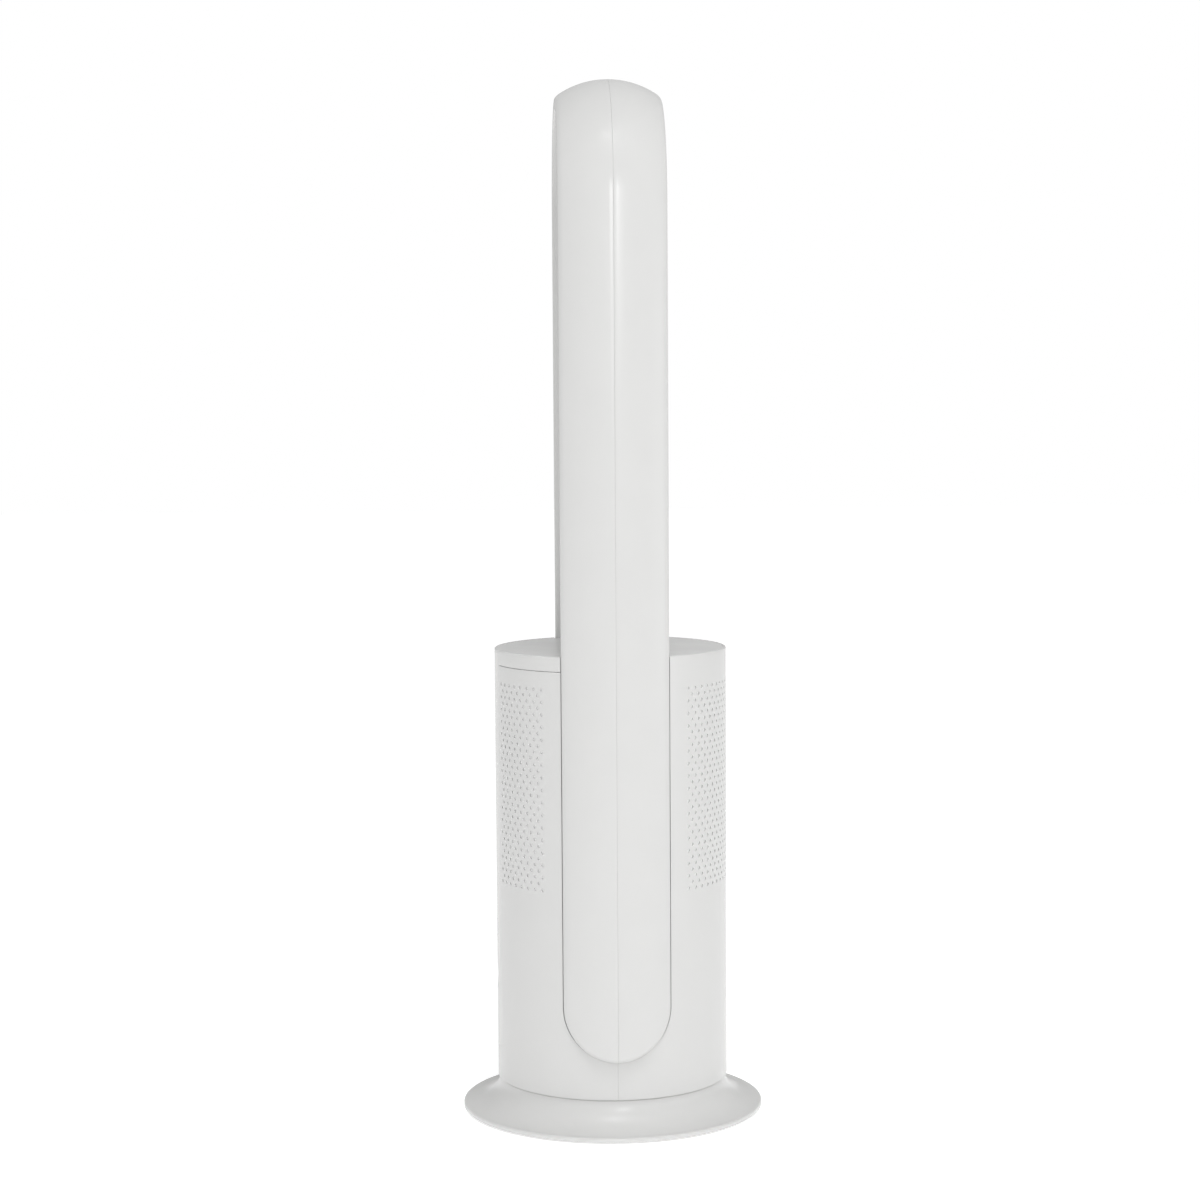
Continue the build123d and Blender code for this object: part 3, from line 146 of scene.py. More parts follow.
def mesh_piece(name, points, quads):
    """A mesh object in metres. A repeated corner is dropped, so such a quad becomes a triangle."""
    kept, quads = merged(points, quads)
    quads = without_slivers(quads)
    corner = quads != np.roll(quads, 1, axis=1)
    sizes = corner.sum(axis=1)
    mesh = bpy.data.meshes.new(name)
    mesh.vertices.add(len(kept))
    mesh.vertices.foreach_set("co", (points[kept] / 1000).astype(np.float32).ravel())
    mesh.loops.add(int(sizes.sum()))
    mesh.loops.foreach_set("vertex_index", quads[corner].astype(np.int32))
    mesh.polygons.add(len(sizes))
    mesh.polygons.foreach_set("loop_start", (np.cumsum(sizes) - sizes).astype(np.int32))
    mesh.polygons.foreach_set("use_smooth", np.ones(len(sizes), bool))
    mesh.update(calc_edges=True)
    mesh.validate()
    mesh.set_sharp_from_angle(angle=SHARP_ANGLE)
    piece = bpy.data.objects.new(name, mesh)
    bpy.context.scene.collection.objects.link(piece)
    print(name, len(kept), "points,", int((sizes - 2).sum()), "triangles")
    return piece


print("edges of more than", round(np.degrees(SHARP_ANGLE)), "degrees stay sharp")

# %% [markdown]
# ## The base cover
#
# The base is one moulded disc whose deck flares down to a thin rim. Both sides of it turn round
# the same axis, so the whole cover is one closed outline carried round a circle. The Screw modifier
# could turn it too, but then the outline would need an object of its own.

# %% Model the base cover
def arc_points(centre, radii, start, end, count):
    """Points on an ellipse: centre plus radii times the cosine and sine of evenly stepped angles."""
    angle = np.radians(np.linspace(start, end, count))[:, None]
    return np.array(centre) + np.array(radii) * np.hstack([np.cos(angle), np.sin(angle)])


def revolved(outline, count):
    """A closed outline of (radius, height) carried round Z: x = r cos a, y = r sin a."""
    angle = np.linspace(0, 2 * np.pi, count, endpoint=False)
    radius, height = outline.T
    x, y = radius * np.cos(angle)[:, None], radius * np.sin(angle)[:, None]
    points = np.stack([x, y, np.broadcast_to(height, x.shape)], axis=-1)
    return grid_sheet(np.concatenate([points, points[:1]]), wrap=True)


UNDER_EDGE, HUB_HOLE, FOOT_STAND, RIM_ROUND, DECK_ROUND = 127.0, 26.15, 1.5, 1.5, 1.0
DECK_INNER, DECK_OUTER, DECK_WALL, RIM_UNDER_ROUND = 60.0, 90.0, 3.0, 0.6
HOLLOW_RADIUS, HOLLOW_TOP, HOLLOW_RISE, FLARE_START, TURNS = 103.0, 27.0, 23.5, 182, 256
flare_top = DECK_TOP - DECK_ROUND
under_round = (RIM_UNDER_ROUND, RIM_UNDER_ROUND)
base_outline = np.vstack([
    [[HUB_HOLE, DECK_TOP - DECK_WALL], [HUB_HOLE, DECK_TOP]],
    [[DECK_INNER, DECK_TOP], [DECK_OUTER, DECK_TOP]],
    arc_points((DECK_RADIUS - DECK_ROUND, flare_top), (DECK_ROUND, DECK_ROUND), 90, 0, 5),
    arc_points(
        (FLARE_FOOT, flare_top), (FLARE_FOOT - DECK_RADIUS, flare_top - RIM_TOP),
        FLARE_START, 270, 40,
    ),
    arc_points((BASE_RADIUS - RIM_ROUND, RIM_TOP - RIM_ROUND), (RIM_ROUND, RIM_ROUND), 90, 0, 6),
    arc_points(
        (BASE_RADIUS - RIM_UNDER_ROUND, FOOT_STAND + RIM_UNDER_ROUND), under_round, 0, -90, 4,
    ),
    [[UNDER_EDGE, FOOT_STAND]],
    arc_points((UNDER_EDGE, HOLLOW_TOP), (UNDER_EDGE - HOLLOW_RADIUS, HOLLOW_RISE), 270, 180, 24),
    [[DECK_INNER, DECK_TOP - DECK_WALL]],
])
base_cover = mesh_piece("base_cover", *revolved(base_outline, TURNS))

# %% [markdown]
# ## The body covers
#
# The body is a cylinder in two halves, and each half has flat beds where the loop's legs lie. A
# cover is described by its angle round the axis and its height, and by an inset: the same formula
# gives the outside at inset 0 and the inside at inset 2.5 mm. All the grids of one cover share the
# same rows, so that their edges meet point for point.

# %% Rows of a body cover
HOLE_RADIUS, HOLE_ROWS, HOLE_BOTTOM, HOLE_PITCH = 1.5, 33, 216.9, 5.7
SKIRT_STEPS, PLAIN_ROWS, UPPER_ROWS = (0, 0.15, 0.35, 0.6, 7, 15, 24), (150, 185), (410, 414)
FOOT_STEPS, RIM_STEPS = 31, 6
NEAR = 0.001


def on_cylinder(angle, height, inset):
    """x = (R - inset) cos a, y = (R - inset) sin a, at a height, with the angle in degrees."""
    angle, height = np.broadcast_arrays(np.radians(angle), height)
    radius = BODY_RADIUS - inset
    return np.stack([radius * np.cos(angle), radius * np.sin(angle), height], axis=-1)


# Every height that a hole's rectangle or its quarter steps come to.
hole_heights = HOLE_BOTTOM + HOLE_PITCH * np.arange(4 * HOLE_ROWS + 1) / 4


def cover_rows(inset, top, edge):
    """Heights of a cover's rows, and how many of them lie below the leg's bed."""
    skirt = np.append(SKIRT_STEPS, PANEL_BOTTOM - BODY_BOTTOM) + BODY_BOTTOM
    turn = np.radians(np.linspace(90, 0, FOOT_STEPS))
    foot = BED_CENTRE - (BED_HALF + inset) * np.sin(turn)
    rim = top - edge + edge * np.sin(np.radians(np.linspace(0, 90, RIM_STEPS)))
    rows = np.concatenate([skirt, foot, PLAIN_ROWS, hole_heights, UPPER_ROWS, rim])
    return rows, len(skirt)


print("holes from", HOLE_BOTTOM, "to", round(hole_heights[-1], 1), "mm up, in", HOLE_ROWS, "rows")

# %% [markdown]
# ### The beds for the legs
#
# A bed is a flat moulded into the cylinder, as wide as a leg, round at its foot, with a wall on
# each side. One grid crosses the flat, a second climbs the wall, and a third goes round the skin
# from there. A boolean cut would leave long thin faces that shade badly.

# %% The bed and the skin beside it
BED_STEPS, SKIN_STEPS, FIRST_SKIN_STEP = 5, 12, 0.0065


def bed_width(heights, inset):
    """Half width of the bed: sqrt(r^2 - (c - z)^2) round the foot, and r above its centre."""
    half = BED_HALF + inset
    below = np.clip(BED_CENTRE - heights, 0, half)
    return np.sqrt(np.maximum(half**2 - below**2, 0))


def bed_side(start, inset, heights, skirt_rows):
    """One side of a cover from the middle of its bed, over the bed's wall, to the angle start."""
    widths = bed_width(heights, inset)
    widths[:skirt_rows] = 0
    radius = BODY_RADIUS - inset
    across, rise = np.linspace(0, 1, BED_STEPS), heights[skirt_rows:, None]
    edge_x = np.sqrt(radius**2 - widths**2)[skirt_rows:, None]
    half = widths[skirt_rows:, None]
    floor = np.broadcast_arrays(BED_X - inset, half * across, rise)
    wall_x = BED_X - inset + (edge_x - BED_X + inset) * across[::2]
    wall = np.broadcast_arrays(wall_x, half, rise)
    begin = np.degrees(np.arcsin(widths / radius))[:, None]
    share = np.append(0, np.linspace(FIRST_SKIN_STEP, 1, SKIN_STEPS))
    side = on_cylinder(begin + (start - begin) * share, heights[:, None], inset)
    grids = [np.stack(floor, axis=-1), np.stack(wall, axis=-1), side]
    return joined(*(grid_sheet(grid) for grid in grids))


print("the bed is", 2 * BED_HALF, "mm wide for a leg of", 2 * LOOP_HALF_DEPTH, "mm")

# %% [markdown]
# ### The intake holes
#
# The fan breathes in through hundreds of round holes, moulded in staggered rows. Each hole sits in
# its own small rectangle, and sixteen points on the rectangle meet sixteen on the hole, which keeps
# the repeated shape down to sixteen quads. Boolean cuts of so many holes would be far slower, and a
# painted dot would not let the light through.

# %% Rectangles with a hole in them
RING_POINTS = 16
QUARTERS = np.linspace(0, 1, 5)


def hole_cells(start, pitch, count, inset):
    """Rows of rectangles with a round hole, every other row moved by half a pitch.

    Point k of a hole stands at the angle -135 + 22.5 k degrees round its middle, which faces
    point k of the rectangle, counted from its lower left corner.
    """
    ring = np.arange(RING_POINTS)
    walk = np.concatenate([QUARTERS[:-1], np.ones(4), QUARTERS[:0:-1], np.zeros(4)])
    climb = np.concatenate([np.zeros(4), QUARTERS[:-1], np.ones(4), QUARTERS[:0:-1]])
    turn = np.radians(-135 + 360 / RING_POINTS * ring)
    hole_angle = 0.5 + np.cos(turn) * np.degrees(HOLE_RADIUS / BODY_RADIUS) / pitch
    hole_height = 0.5 + np.sin(turn) * HOLE_RADIUS / HOLE_PITCH
    share = np.stack([np.stack([walk, climb], -1), np.stack([hole_angle, hole_height], -1)])
    row, column = np.meshgrid(np.arange(HOLE_ROWS), np.arange(count), indexing="ij")
    shift = 0.5 * (row % 2)
    wanted = (column + shift + 1 <= count).ravel()
    corner_angle = (start + pitch * (column + shift)).ravel()[wanted]
    corner_height = (HOLE_BOTTOM + HOLE_PITCH * row).ravel()[wanted]
    angle = corner_angle[:, None, None] + pitch * share[..., 0]
    height = corner_height[:, None, None] + HOLE_PITCH * share[..., 1]
    points = on_cylinder(angle, height, inset).reshape(-1, 3)
    following = (ring + 1) % RING_POINTS
    cell = np.stack([ring, following, following + RING_POINTS, ring + RING_POINTS], axis=-1)
    first = 2 * RING_POINTS * np.arange(len(corner_angle))
    quads = (cell + first[:, None, None]).reshape(-1, 4)
    fillers = []
    for odd_row in range(1, HOLE_ROWS, 2):
        heights = HOLE_BOTTOM + HOLE_PITCH * (odd_row + QUARTERS)[:, None]
        for end in (start, start + pitch * (count - 0.5)):
            patch = on_cylinder(end + pitch * QUARTERS[:3], heights, inset)
            fillers.append(grid_sheet(patch))
    return joined((points, quads), *fillers)


print("each hole is", 2 * HOLE_RADIUS, "mm across, in", RING_POINTS, "quads")

# %% [markdown]
# ### Plain skin, and the opening for the power inlet
#
# Below and above the holes the skin is a plain grid. At the back it has a rounded opening that the
# power inlet looks out of. Some quads make way for it, and a ring of quads joins the gap they leave
# to the opening's outline, as a modeller would do by hand with a bridge of edge loops.

# %% Plain patches of skin
INLET_OPENING, OPENING_STEPS = (12.15, 8.15, 2.0, 76.0), 8


def plain_patch(angles, heights, inset):
    """A patch of the cylinder without holes."""
    return grid_sheet(on_cylinder(np.asarray(angles), np.asarray(heights)[:, None], inset))


def patch_with_opening(angles, heights, inset, first_row, last_row, opening):
    """A patch whose middle quads make way for an opening (half width, half height, corner, z).

    Each point on the edge of the missing quads meets the opening's own point in the same
    direction: the nearest point of a smaller rectangle, plus the corner radius away from it.
    """
    points, quads = plain_patch(angles, heights, inset)
    columns, middle = len(angles), len(angles) // 2
    left, right = middle - OPENING_STEPS, middle + OPENING_STEPS
    row, column = np.divmod(quads[:, 0], columns)
    missing = (row >= first_row) & (row < last_row) & (column >= left) & (column < right)
    across, up = np.arange(left, right), np.arange(first_row, last_row)
    walk_column = np.concatenate([across, 0 * up + right, across[::-1] + 1, 0 * up + left])
    walk_row = np.concatenate([0 * across + first_row, up, 0 * across + last_row, up[::-1] + 1])
    half_width, half_height, corner, centre = opening
    flat = np.array([half_width, half_height]) - corner
    side = np.stack([
        (walk_column - middle) / OPENING_STEPS,
        2 * (walk_row - first_row) / (last_row - first_row) - 1,
    ], axis=-1) * (half_width, half_height)
    core = np.clip(side, -flat, flat)
    core += corner * (side - core) / np.linalg.norm(side - core, axis=1)[:, None]
    angle = 90 + np.degrees(np.arcsin(core[:, 0] / (BODY_RADIUS - inset)))
    hole = on_cylinder(angle, centre + core[:, 1], inset)
    outer, count = walk_row * columns + walk_column, len(walk_row)
    inner = len(points) + np.arange(count)
    ring = np.stack([outer, np.roll(outer, -1), np.roll(inner, -1), inner], axis=-1)
    return np.vstack([points, hole]), np.vstack([quads[~missing], ring])


print("the inlet's opening is", 2 * INLET_OPENING[0], "by", 2 * INLET_OPENING[1], "mm")

# %% [markdown]
# ### The two covers
#
# The rear cover reaches from leg to leg round the back, with holes all the way. The front cover has
# holes only beside the legs, because its middle is open for the control panel. Each cover is laid
# out from the grids above, its inside is laid out again 2.5 mm further in, and behind the holes the
# wall is thinned to 0.9 mm so that the light cloth inside can be seen.

# %% Lay out the covers
REAR_HOLES, REAR_SPREAD, INLET_FIRST, INLET_LAST = 23, 104, 3, 19
FRONT_HOLES, FRONT_PITCH, FRONT_START = 8, 4.75, 38


def split_at_holes(heights):
    """The rows up to the lowest hole, and the rows from the highest hole up."""
    low = heights[heights <= HOLE_BOTTOM + NEAR]
    high = heights[heights >= hole_heights[-1] - NEAR]
    return low, high


def rear_cover_sheet(inset):
    """Both bed sides, the holes between them, and the plain skin below and above the holes."""
    pitch = REAR_SPREAD / (REAR_HOLES - 1)
    start = 90 - pitch * REAR_HOLES / 2
    heights, skirt_rows = cover_rows(inset, BODY_TOP, RIM_ROUND_TOP)
    sides = bed_side(start, inset, heights, skirt_rows)
    steps = start + pitch * np.arange(4 * REAR_HOLES + 1) / 4
    low, high = split_at_holes(heights)
    inlet_rows = skirt_rows + INLET_FIRST, skirt_rows + INLET_LAST
    return joined(
        sides, flipped_over_x(*sides), hole_cells(start, pitch, REAR_HOLES, inset),
        patch_with_opening(steps, low, inset, *inlet_rows, INLET_OPENING),
        plain_patch(steps, high, inset),
    )


def front_cover_sheet(inset):
    """Half the front cover, from its bed to the panel's opening and the strip below it, twice."""
    start = FRONT_START - FRONT_PITCH / 2
    end = start + FRONT_PITCH * FRONT_HOLES
    heights, skirt_rows = cover_rows(inset, CAP_SEAM - SEAM, SEAM_ROUND)
    sides = bed_side(start, inset, heights, skirt_rows)
    steps = start + FRONT_PITCH * np.arange(4 * FRONT_HOLES + 1) / 4
    low, high = split_at_holes(heights)
    opening = np.degrees(np.arccos(PANEL_HALF / (BODY_RADIUS - inset)))
    strip = np.linspace(end, opening, 4)
    below = heights[heights <= PANEL_BOTTOM + NEAR]
    above = heights[heights >= PANEL_BOTTOM - NEAR]
    half = joined(
        sides, hole_cells(start, FRONT_PITCH, FRONT_HOLES, inset),
        plain_patch(steps, low, inset), plain_patch(steps, high, inset),
        plain_patch(strip, below, inset), plain_patch(strip, above, inset),
        plain_patch(np.linspace(opening, 90, 9), below, inset),
    )
    return joined(half, flipped_over_x(*half))


print(REAR_HOLES, "holes to a row behind, and", FRONT_HOLES, "on each side in front")

# %% [markdown]
# ### Edges and joint lines
#
# No moulded edge is sharp, and where two mouldings meet there is a fine line. Each sheet's rim is
# rounded by moving its points in towards the axis, and the line is left as a real gap of 0.1 mm with
# its edges eased, so that it catches the light as a real one does. A Bevel modifier could round the
# edges, but it would also chase every hole.

# %% Round the edges and close the covers
SEAM, SEAM_ROUND, RIM_ROUND_TOP, BOTTOM_ROUND = 0.4, 0.3, 1.2, 0.6
JOINT_HALF, JOINT_DROP, SKIN_DEPTH = 0.05, 0.1, 0.01
HOLED_WALL, HOLE_REACH, HOLED_MARGIN = 0.9, 86.5, 0.1


def edge_drop(distance, radius):
    """How far a rounded edge has fallen at a distance inside the edge: r - sqrt(r^2 - (r - d)^2)."""
    short = np.clip(radius - distance, 0, radius)
    return radius - np.sqrt(radius**2 - short**2)


def softened(points, top, edge):
    """Rounds the top and bottom edges of the cylinder, and opens the joint line between covers."""
    points = points.copy()
    radius = np.hypot(points[:, 0], points[:, 1])
    upper, lower = top - points[:, 2], points[:, 2] - BODY_BOTTOM
    drop = edge_drop(upper, edge) + edge_drop(lower, BOTTOM_ROUND)
    joint = np.abs(points[:, 1]) < NEAR
    drop = np.where(radius > BODY_RADIUS - SKIN_DEPTH, drop + JOINT_DROP * joint, 0)
    points[:, :2] *= (1 - drop / np.maximum(radius, 1))[:, None]
    points[joint, 1] = JOINT_HALF
    return points


def body_cover(sheet, top, edge):
    """A closed wall between the sheet at inset 0 and at inset 2.5 mm, thinner where it has holes."""
    outside, quads = sheet(0)
    inside, _ = sheet(WALL)
    inside[np.abs(inside[:, 1]) < NEAR, 1] = JOINT_HALF
    radius, aim = np.hypot(inside[:, 0], inside[:, 1]), np.abs(inside[:, 0])
    holed = (radius > BODY_RADIUS - WALL - SKIN_DEPTH) & (aim < HOLE_REACH)
    holed &= inside[:, 2] > HOLE_BOTTOM - HOLED_MARGIN
    holed &= inside[:, 2] < hole_heights[-1] + HOLED_MARGIN
    inside[holed, :2] *= (BODY_RADIUS - HOLED_WALL) / (BODY_RADIUS - WALL)
    return closed_wall(softened(outside, top, edge), inside, quads)


front_wall = body_cover(front_cover_sheet, CAP_SEAM - SEAM, SEAM_ROUND)
front_cover = mesh_piece("front_cover", *flipped_over_y(*front_wall))
rear_cover = mesh_piece("rear_cover", *body_cover(rear_cover_sheet, BODY_TOP, RIM_ROUND_TOP))

# %% [markdown]
# ## The dust filter
#
# A light woven cloth lies against the inside of the holes and keeps dust out of the fan. It is a
# thin sheet of the same cylinder, a little smaller, so the same patch formula makes it. It hangs
# straight and still, so a cloth simulation would add nothing.

# %% Model the dust cloths
CLOTH_OUTSIDE, CLOTH_INSIDE, CLOTH_MARGIN, CLOTH_STEP = 0.95, 1.4, 0.6, 1.5


def dust_cloth(name, *spans):
    """A closed thin sheet behind the holes for each span of angles, in degrees."""
    heights = np.linspace(HOLE_BOTTOM + CLOTH_MARGIN, hole_heights[-1] - CLOTH_MARGIN, 3)
    sheets = []
    for first, last in spans:
        angles = np.linspace(first, last, 2 + int(abs(last - first) / CLOTH_STEP))
        outside, quads = plain_patch(angles, heights, CLOTH_OUTSIDE)
        inside, _ = plain_patch(angles, heights, CLOTH_INSIDE)
        sheets.append(closed_wall(outside, inside, quads))
    return mesh_piece(name, *joined(*sheets))


rear_cloth = dust_cloth("rear_dust_cloth", (37, 143))
front_cloth = dust_cloth("front_dust_cloth", (-72.6, -37), (-143, -107.4))

# %% [markdown]
# ## The top cap
#
# The cap is a disc that drops into the rear cover's rim and turns down into a skirt over the front
# cover. Its outline has the same two flat beds as the body. Rings of that outline, each a little
# smaller and higher than the last, make the rounded rim, and a last ring of no size closes it. An
# n-gon could fill the top in one face, but on a large flat face the rim's soft shading would bleed.

# %% Model the cap's disc
CAP_FIT, FLAT_START, INWARD = 2.65, 0.4, (0, 0.4, 0.8, 1)


def cap_ring(front_inset, rear_inset, size, height):
    """The cap's outline: bed, arc, bed round the rear, then the same round the front."""
    halves = []
    for inset, mirror in ((CAP_FIT + rear_inset, 1), (front_inset, -1)):
        half, radius = BED_HALF + inset, BODY_RADIUS - inset
        begin = np.degrees(np.arcsin(half / radius))
        rise = np.linspace(0, half, 4)[:, None]
        bed = np.hstack([np.full_like(rise, BED_X - inset), rise])
        arc = arc_points((0, 0), (radius, radius), begin, 180 - begin, 97)
        side = np.vstack([bed, arc, bed[::-1] * (-1, 1)])
        halves.append(side * mirror)
    ring = np.vstack(halves) * size
    return np.hstack([ring, np.full((len(ring), 1), height)])


rim_turn = np.radians(np.linspace(0, 90, RIM_STEPS))
rim_heights = BODY_TOP - RIM_ROUND_TOP * (1 - np.sin(rim_turn))
rim_front = RIM_ROUND_TOP * (1 - np.cos(rim_turn))
rim_rear = edge_drop(BODY_TOP - rim_heights, SEAM_ROUND)
# Going inwards, the two corners of each bed meet where (R - i)^2 - (H + i)^2 = (X - i)^2. Smaller
# rings are scaled from that one, because a ring that still had the corners would fold over.
turn_sum, turn_rest = BODY_RADIUS + BED_HALF - BED_X, BODY_RADIUS**2 - BED_HALF**2 - BED_X**2
closing = np.sqrt(turn_sum**2 + turn_rest) - turn_sum
closed_ring = closing, closing - CAP_FIT
flat_ring = rim_front[-1] + FLAT_START, rim_rear[-1] + FLAT_START
cap_rings = [cap_ring(*closed_ring, size, CAP_UNDER) for size in INWARD]
cap_rings.append(cap_ring(0, 0, 1, CAP_UNDER))
cap_rings += [cap_ring(f, r, 1, z) for f, r, z in zip(rim_front, rim_rear, rim_heights)]
cap_rings.append(cap_ring(*flat_ring, 1, BODY_TOP))
cap_rings += [cap_ring(*closed_ring, size, BODY_TOP) for size in INWARD[::-1]]
cap_disc = grid_sheet(np.stack(cap_rings), wrap=True)
print("the cap's disc has", len(cap_rings), "rings")

# %% [markdown]
# ### The cap's skirt
#
# The skirt hangs from the disc over the front cover, on both sides of the control panel. It repeats
# the body's bed and skin for a few rows, so the same two grids make it.

# %% Model the cap's skirt and join it on
SKIRT_MIDDLE, SKIRT_GAP = 425.0, 0.01


def cap_skirt(inset):
    """The skirt's right side at an inset: the bed's wall and the skin up to the panel."""
    lower = CAP_SEAM + np.array([0, SEAM_ROUND / 3, SEAM_ROUND])
    heights = np.append(lower, [SKIRT_MIDDLE, CAP_UNDER - SKIRT_GAP])
    opening = np.degrees(np.arccos(PANEL_HALF / (BODY_RADIUS - inset)))
    points, quads = bed_side(opening, inset, heights, 0)
    drop = edge_drop(points[:, 2] - CAP_SEAM, SEAM_ROUND) * (inset == 0)
    points[:, :2] *= (1 - drop / BODY_RADIUS)[:, None]
    return points, quads


skirt_outside, skirt_quads = cap_skirt(0)
skirt = flipped_over_y(*closed_wall(skirt_outside, cap_skirt(WALL)[0], skirt_quads))
cap = mesh_piece("cap", *joined(cap_disc, skirt, flipped_over_x(*skirt)))

# %% [markdown]
# ## The air loop
#
# The loop's two shells meet on a joint line down the middle of each leg. Their section is a shallow
# arc with rounded edges, and it is carried up one leg, over the arch and down the other. Each leg
# ends in a half-round foot, where the section turns round the foot's centre instead. A curve with
# a bevel object could sweep the section, but it could not end in such a foot.

# %% The loop's section
ARC_RADIUS = (LOOP_HALF_DEPTH**2 + LOOP_BULGE**2) / (2 * LOOP_BULGE)
ARC_MIDDLE = LOOP_HALF_WIDTH - ARC_RADIUS
INNER_ROUND, FIRST_STEP, FACE_START, FACE_STEPS = 2.6, 0.5, 4, 12


def face_columns(aim, inset):
    """Distances from the foot's centre, and X, across the outer face and its rounded edge.

    Along a line that leaves the centre at the angle aim from +Y, the face is
    x = m + sqrt(R^2 - (d cos aim)^2), and near the edge it falls by a quarter round of the radius
    e, made shallower where the face already slopes.
    """
    half, radius, edge = LOOP_HALF_DEPTH - inset, ARC_RADIUS - inset, LOOP_EDGE - inset
    turn = np.radians(np.linspace(0, 90, 10))[1:]
    flat = np.concatenate([[0, FIRST_STEP], np.linspace(FACE_START, half - edge, FACE_STEPS)])
    distance = np.concatenate([flat, half - edge + edge * np.sin(turn)])
    sideways = distance * np.cos(aim)
    height = ARC_MIDDLE + np.sqrt(radius**2 - sideways**2)
    slope = np.abs(half * np.cos(aim) / np.sqrt(radius**2 - (half * np.cos(aim)) ** 2))
    shallow = np.tan((np.pi / 2 - np.arctan(slope * np.cos(aim))) / 2)
    return distance, height - edge_drop(half - distance, edge) * shallow


def shell_columns(aim, inset, lip):
    """The whole section: outer face, side, rounded inner edge and inner face as far as the lip."""
    distance, height = face_columns(aim, inset)
    half, inner, round_off = LOOP_HALF_DEPTH - inset, LOOP_INNER + inset, INNER_ROUND - inset
    turn = np.radians(np.linspace(0, 90, 6))
    side = np.linspace(height[-1], inner + round_off, 5)[1:-1]
    corner_distance = half - round_off + round_off * np.cos(turn)
    corner_height = inner + round_off - round_off * np.sin(turn)
    face = np.linspace(half - round_off, lip, 4)[1:]
    return (
        np.concatenate([distance, np.full_like(side, half), corner_distance, face]),
        np.concatenate([height, side, corner_height, np.full_like(face, inner)]),
    )


print("the leg's face is an arc of", round(ARC_RADIUS, 1), "mm radius")

# %% [markdown]
# ### The path of the loop
#
# The path is straight up one leg, a half circle over the top and straight down the other leg. A
# station is one place on it: an angle that the section is turned by, and the height it turns at.

# %% The loop's path
LEG_STEPS, ARCH_STEPS = 9, 97


def loop_path(points_y, points_x, stations):
    """Section points (x, y) at stations (a, z): (x cos a, y, z + x sin a)."""
    angle, height = np.radians(stations[:, :1]), stations[:, 1:]
    x = points_x * np.cos(angle)
    z = height + points_x * np.sin(angle)
    return np.stack([x, np.broadcast_to(points_y, x.shape), z], axis=-1)


def leg_stations(bottom):
    """Stations up the right leg from a height, over the arch and down the left leg."""
    rise = np.linspace(max(bottom, SLOT_START), ARCH_CENTRE, LEG_STEPS)
    if bottom < SLOT_START:
        rise = np.concatenate([np.linspace(bottom, SLOT_START, LEG_STEPS), rise[1:]])
    leg = np.stack([0 * rise, rise], axis=-1)
    turn = np.linspace(0, 180, ARCH_STEPS)[1:-1]
    arch = np.stack([turn, np.full_like(turn, ARCH_CENTRE)], axis=-1)
    return np.vstack([leg, arch, leg[::-1] + (180, 0)])


print("a whole loop has", len(leg_stations(BED_CENTRE)), "stations")

# %% [markdown]
# ### Feet, legs and arch
#
# The foot's outline is a half circle as wide as the leg, so that a cover of one width is closed at
# its end too. Below the air slot the shells' inner faces run on to the joint line and lie on the
# body's beds. Above it each stops at a lip: the front one at 42 mm, the rear one at 28 mm.

# %% Model the loop's shells
FOOT_AIMS = np.radians(np.concatenate([[90, 89.4], np.linspace(87, 0, 30)]))
CLOSING_STEPS, FRONT_LIP, REAR_LIP, OUTER_REACH = 5, 42.0, 28.0, 5


def foot_grids(inset, lip):
    """The right foot: the section turned round the foot's centre, from straight down to level."""
    rows = []
    for aim in FOOT_AIMS:
        distance, height = shell_columns(aim, inset, lip)
        y, z = distance * np.cos(aim), BED_CENTRE - distance * np.sin(aim)
        rows.append(np.stack([height, y, z], axis=-1))
    to_middle, turned = np.linspace(lip, 0, CLOSING_STEPS), FOOT_AIMS[:, None]
    y, z = to_middle * np.cos(turned), BED_CENTRE - to_middle * np.sin(turned)
    inner = np.stack([np.full_like(y, LOOP_INNER + inset), y, z], axis=-1)
    return np.stack(rows), inner


def shell_sheet(inset, lip):
    """The feet, the legs and the arch, and the inner face below the air slot."""
    distance, height = shell_columns(0.0, inset, lip)
    whole = loop_path(distance, height, leg_stations(BED_CENTRE))
    to_middle = np.linspace(lip, 0, CLOSING_STEPS)
    rise = np.linspace(BED_CENTRE, SLOT_START, LEG_STEPS)
    face = np.full(CLOSING_STEPS, LOOP_INNER + inset)
    lower = loop_path(to_middle, face, np.stack([0 * rise, rise], axis=-1))
    right = joined(*(grid_sheet(grid) for grid in (*foot_grids(inset, lip), lower)))
    return joined(grid_sheet(whole), right, flipped_over_x(*right))


def loop_shell(lip):
    """A closed wall between the sheets at inset 0 and 2.5 mm, with its joint line opened."""
    outside, quads = shell_sheet(0, lip)
    inside, _ = shell_sheet(WALL, lip)
    joint = np.abs(outside[:, 1]) < NEAR
    rise = np.maximum(outside[:, 2] - ARCH_CENTRE, 0)
    reach = np.hypot(outside[:, 0], rise)
    pull = np.where(joint & (reach > LOOP_INNER + OUTER_REACH), JOINT_DROP / reach, 0)
    outside[:, 0] *= 1 - pull
    outside[:, 2] -= rise * pull
    outside[:, 1] = np.maximum(outside[:, 1], JOINT_HALF)
    inside[:, 1] = np.maximum(inside[:, 1], JOINT_HALF)
    return closed_wall(outside, inside, quads)


loop_front = mesh_piece("loop_front", *flipped_over_y(*loop_shell(FRONT_LIP)))
loop_rear = mesh_piece("loop_rear", *loop_shell(REAR_LIP))

# %% [markdown]
# ## The air slot's inner band
#
# Air leaves under the rear shell's lip and clings to a ramp on the inner band, which turns it to
# the front. The band is a strip with that ramp, carried along the same path as the shells. The ramp
# starts and ends level, as s^2 (3 - 2 s) does between 0 and 1, so that the air is not tripped.

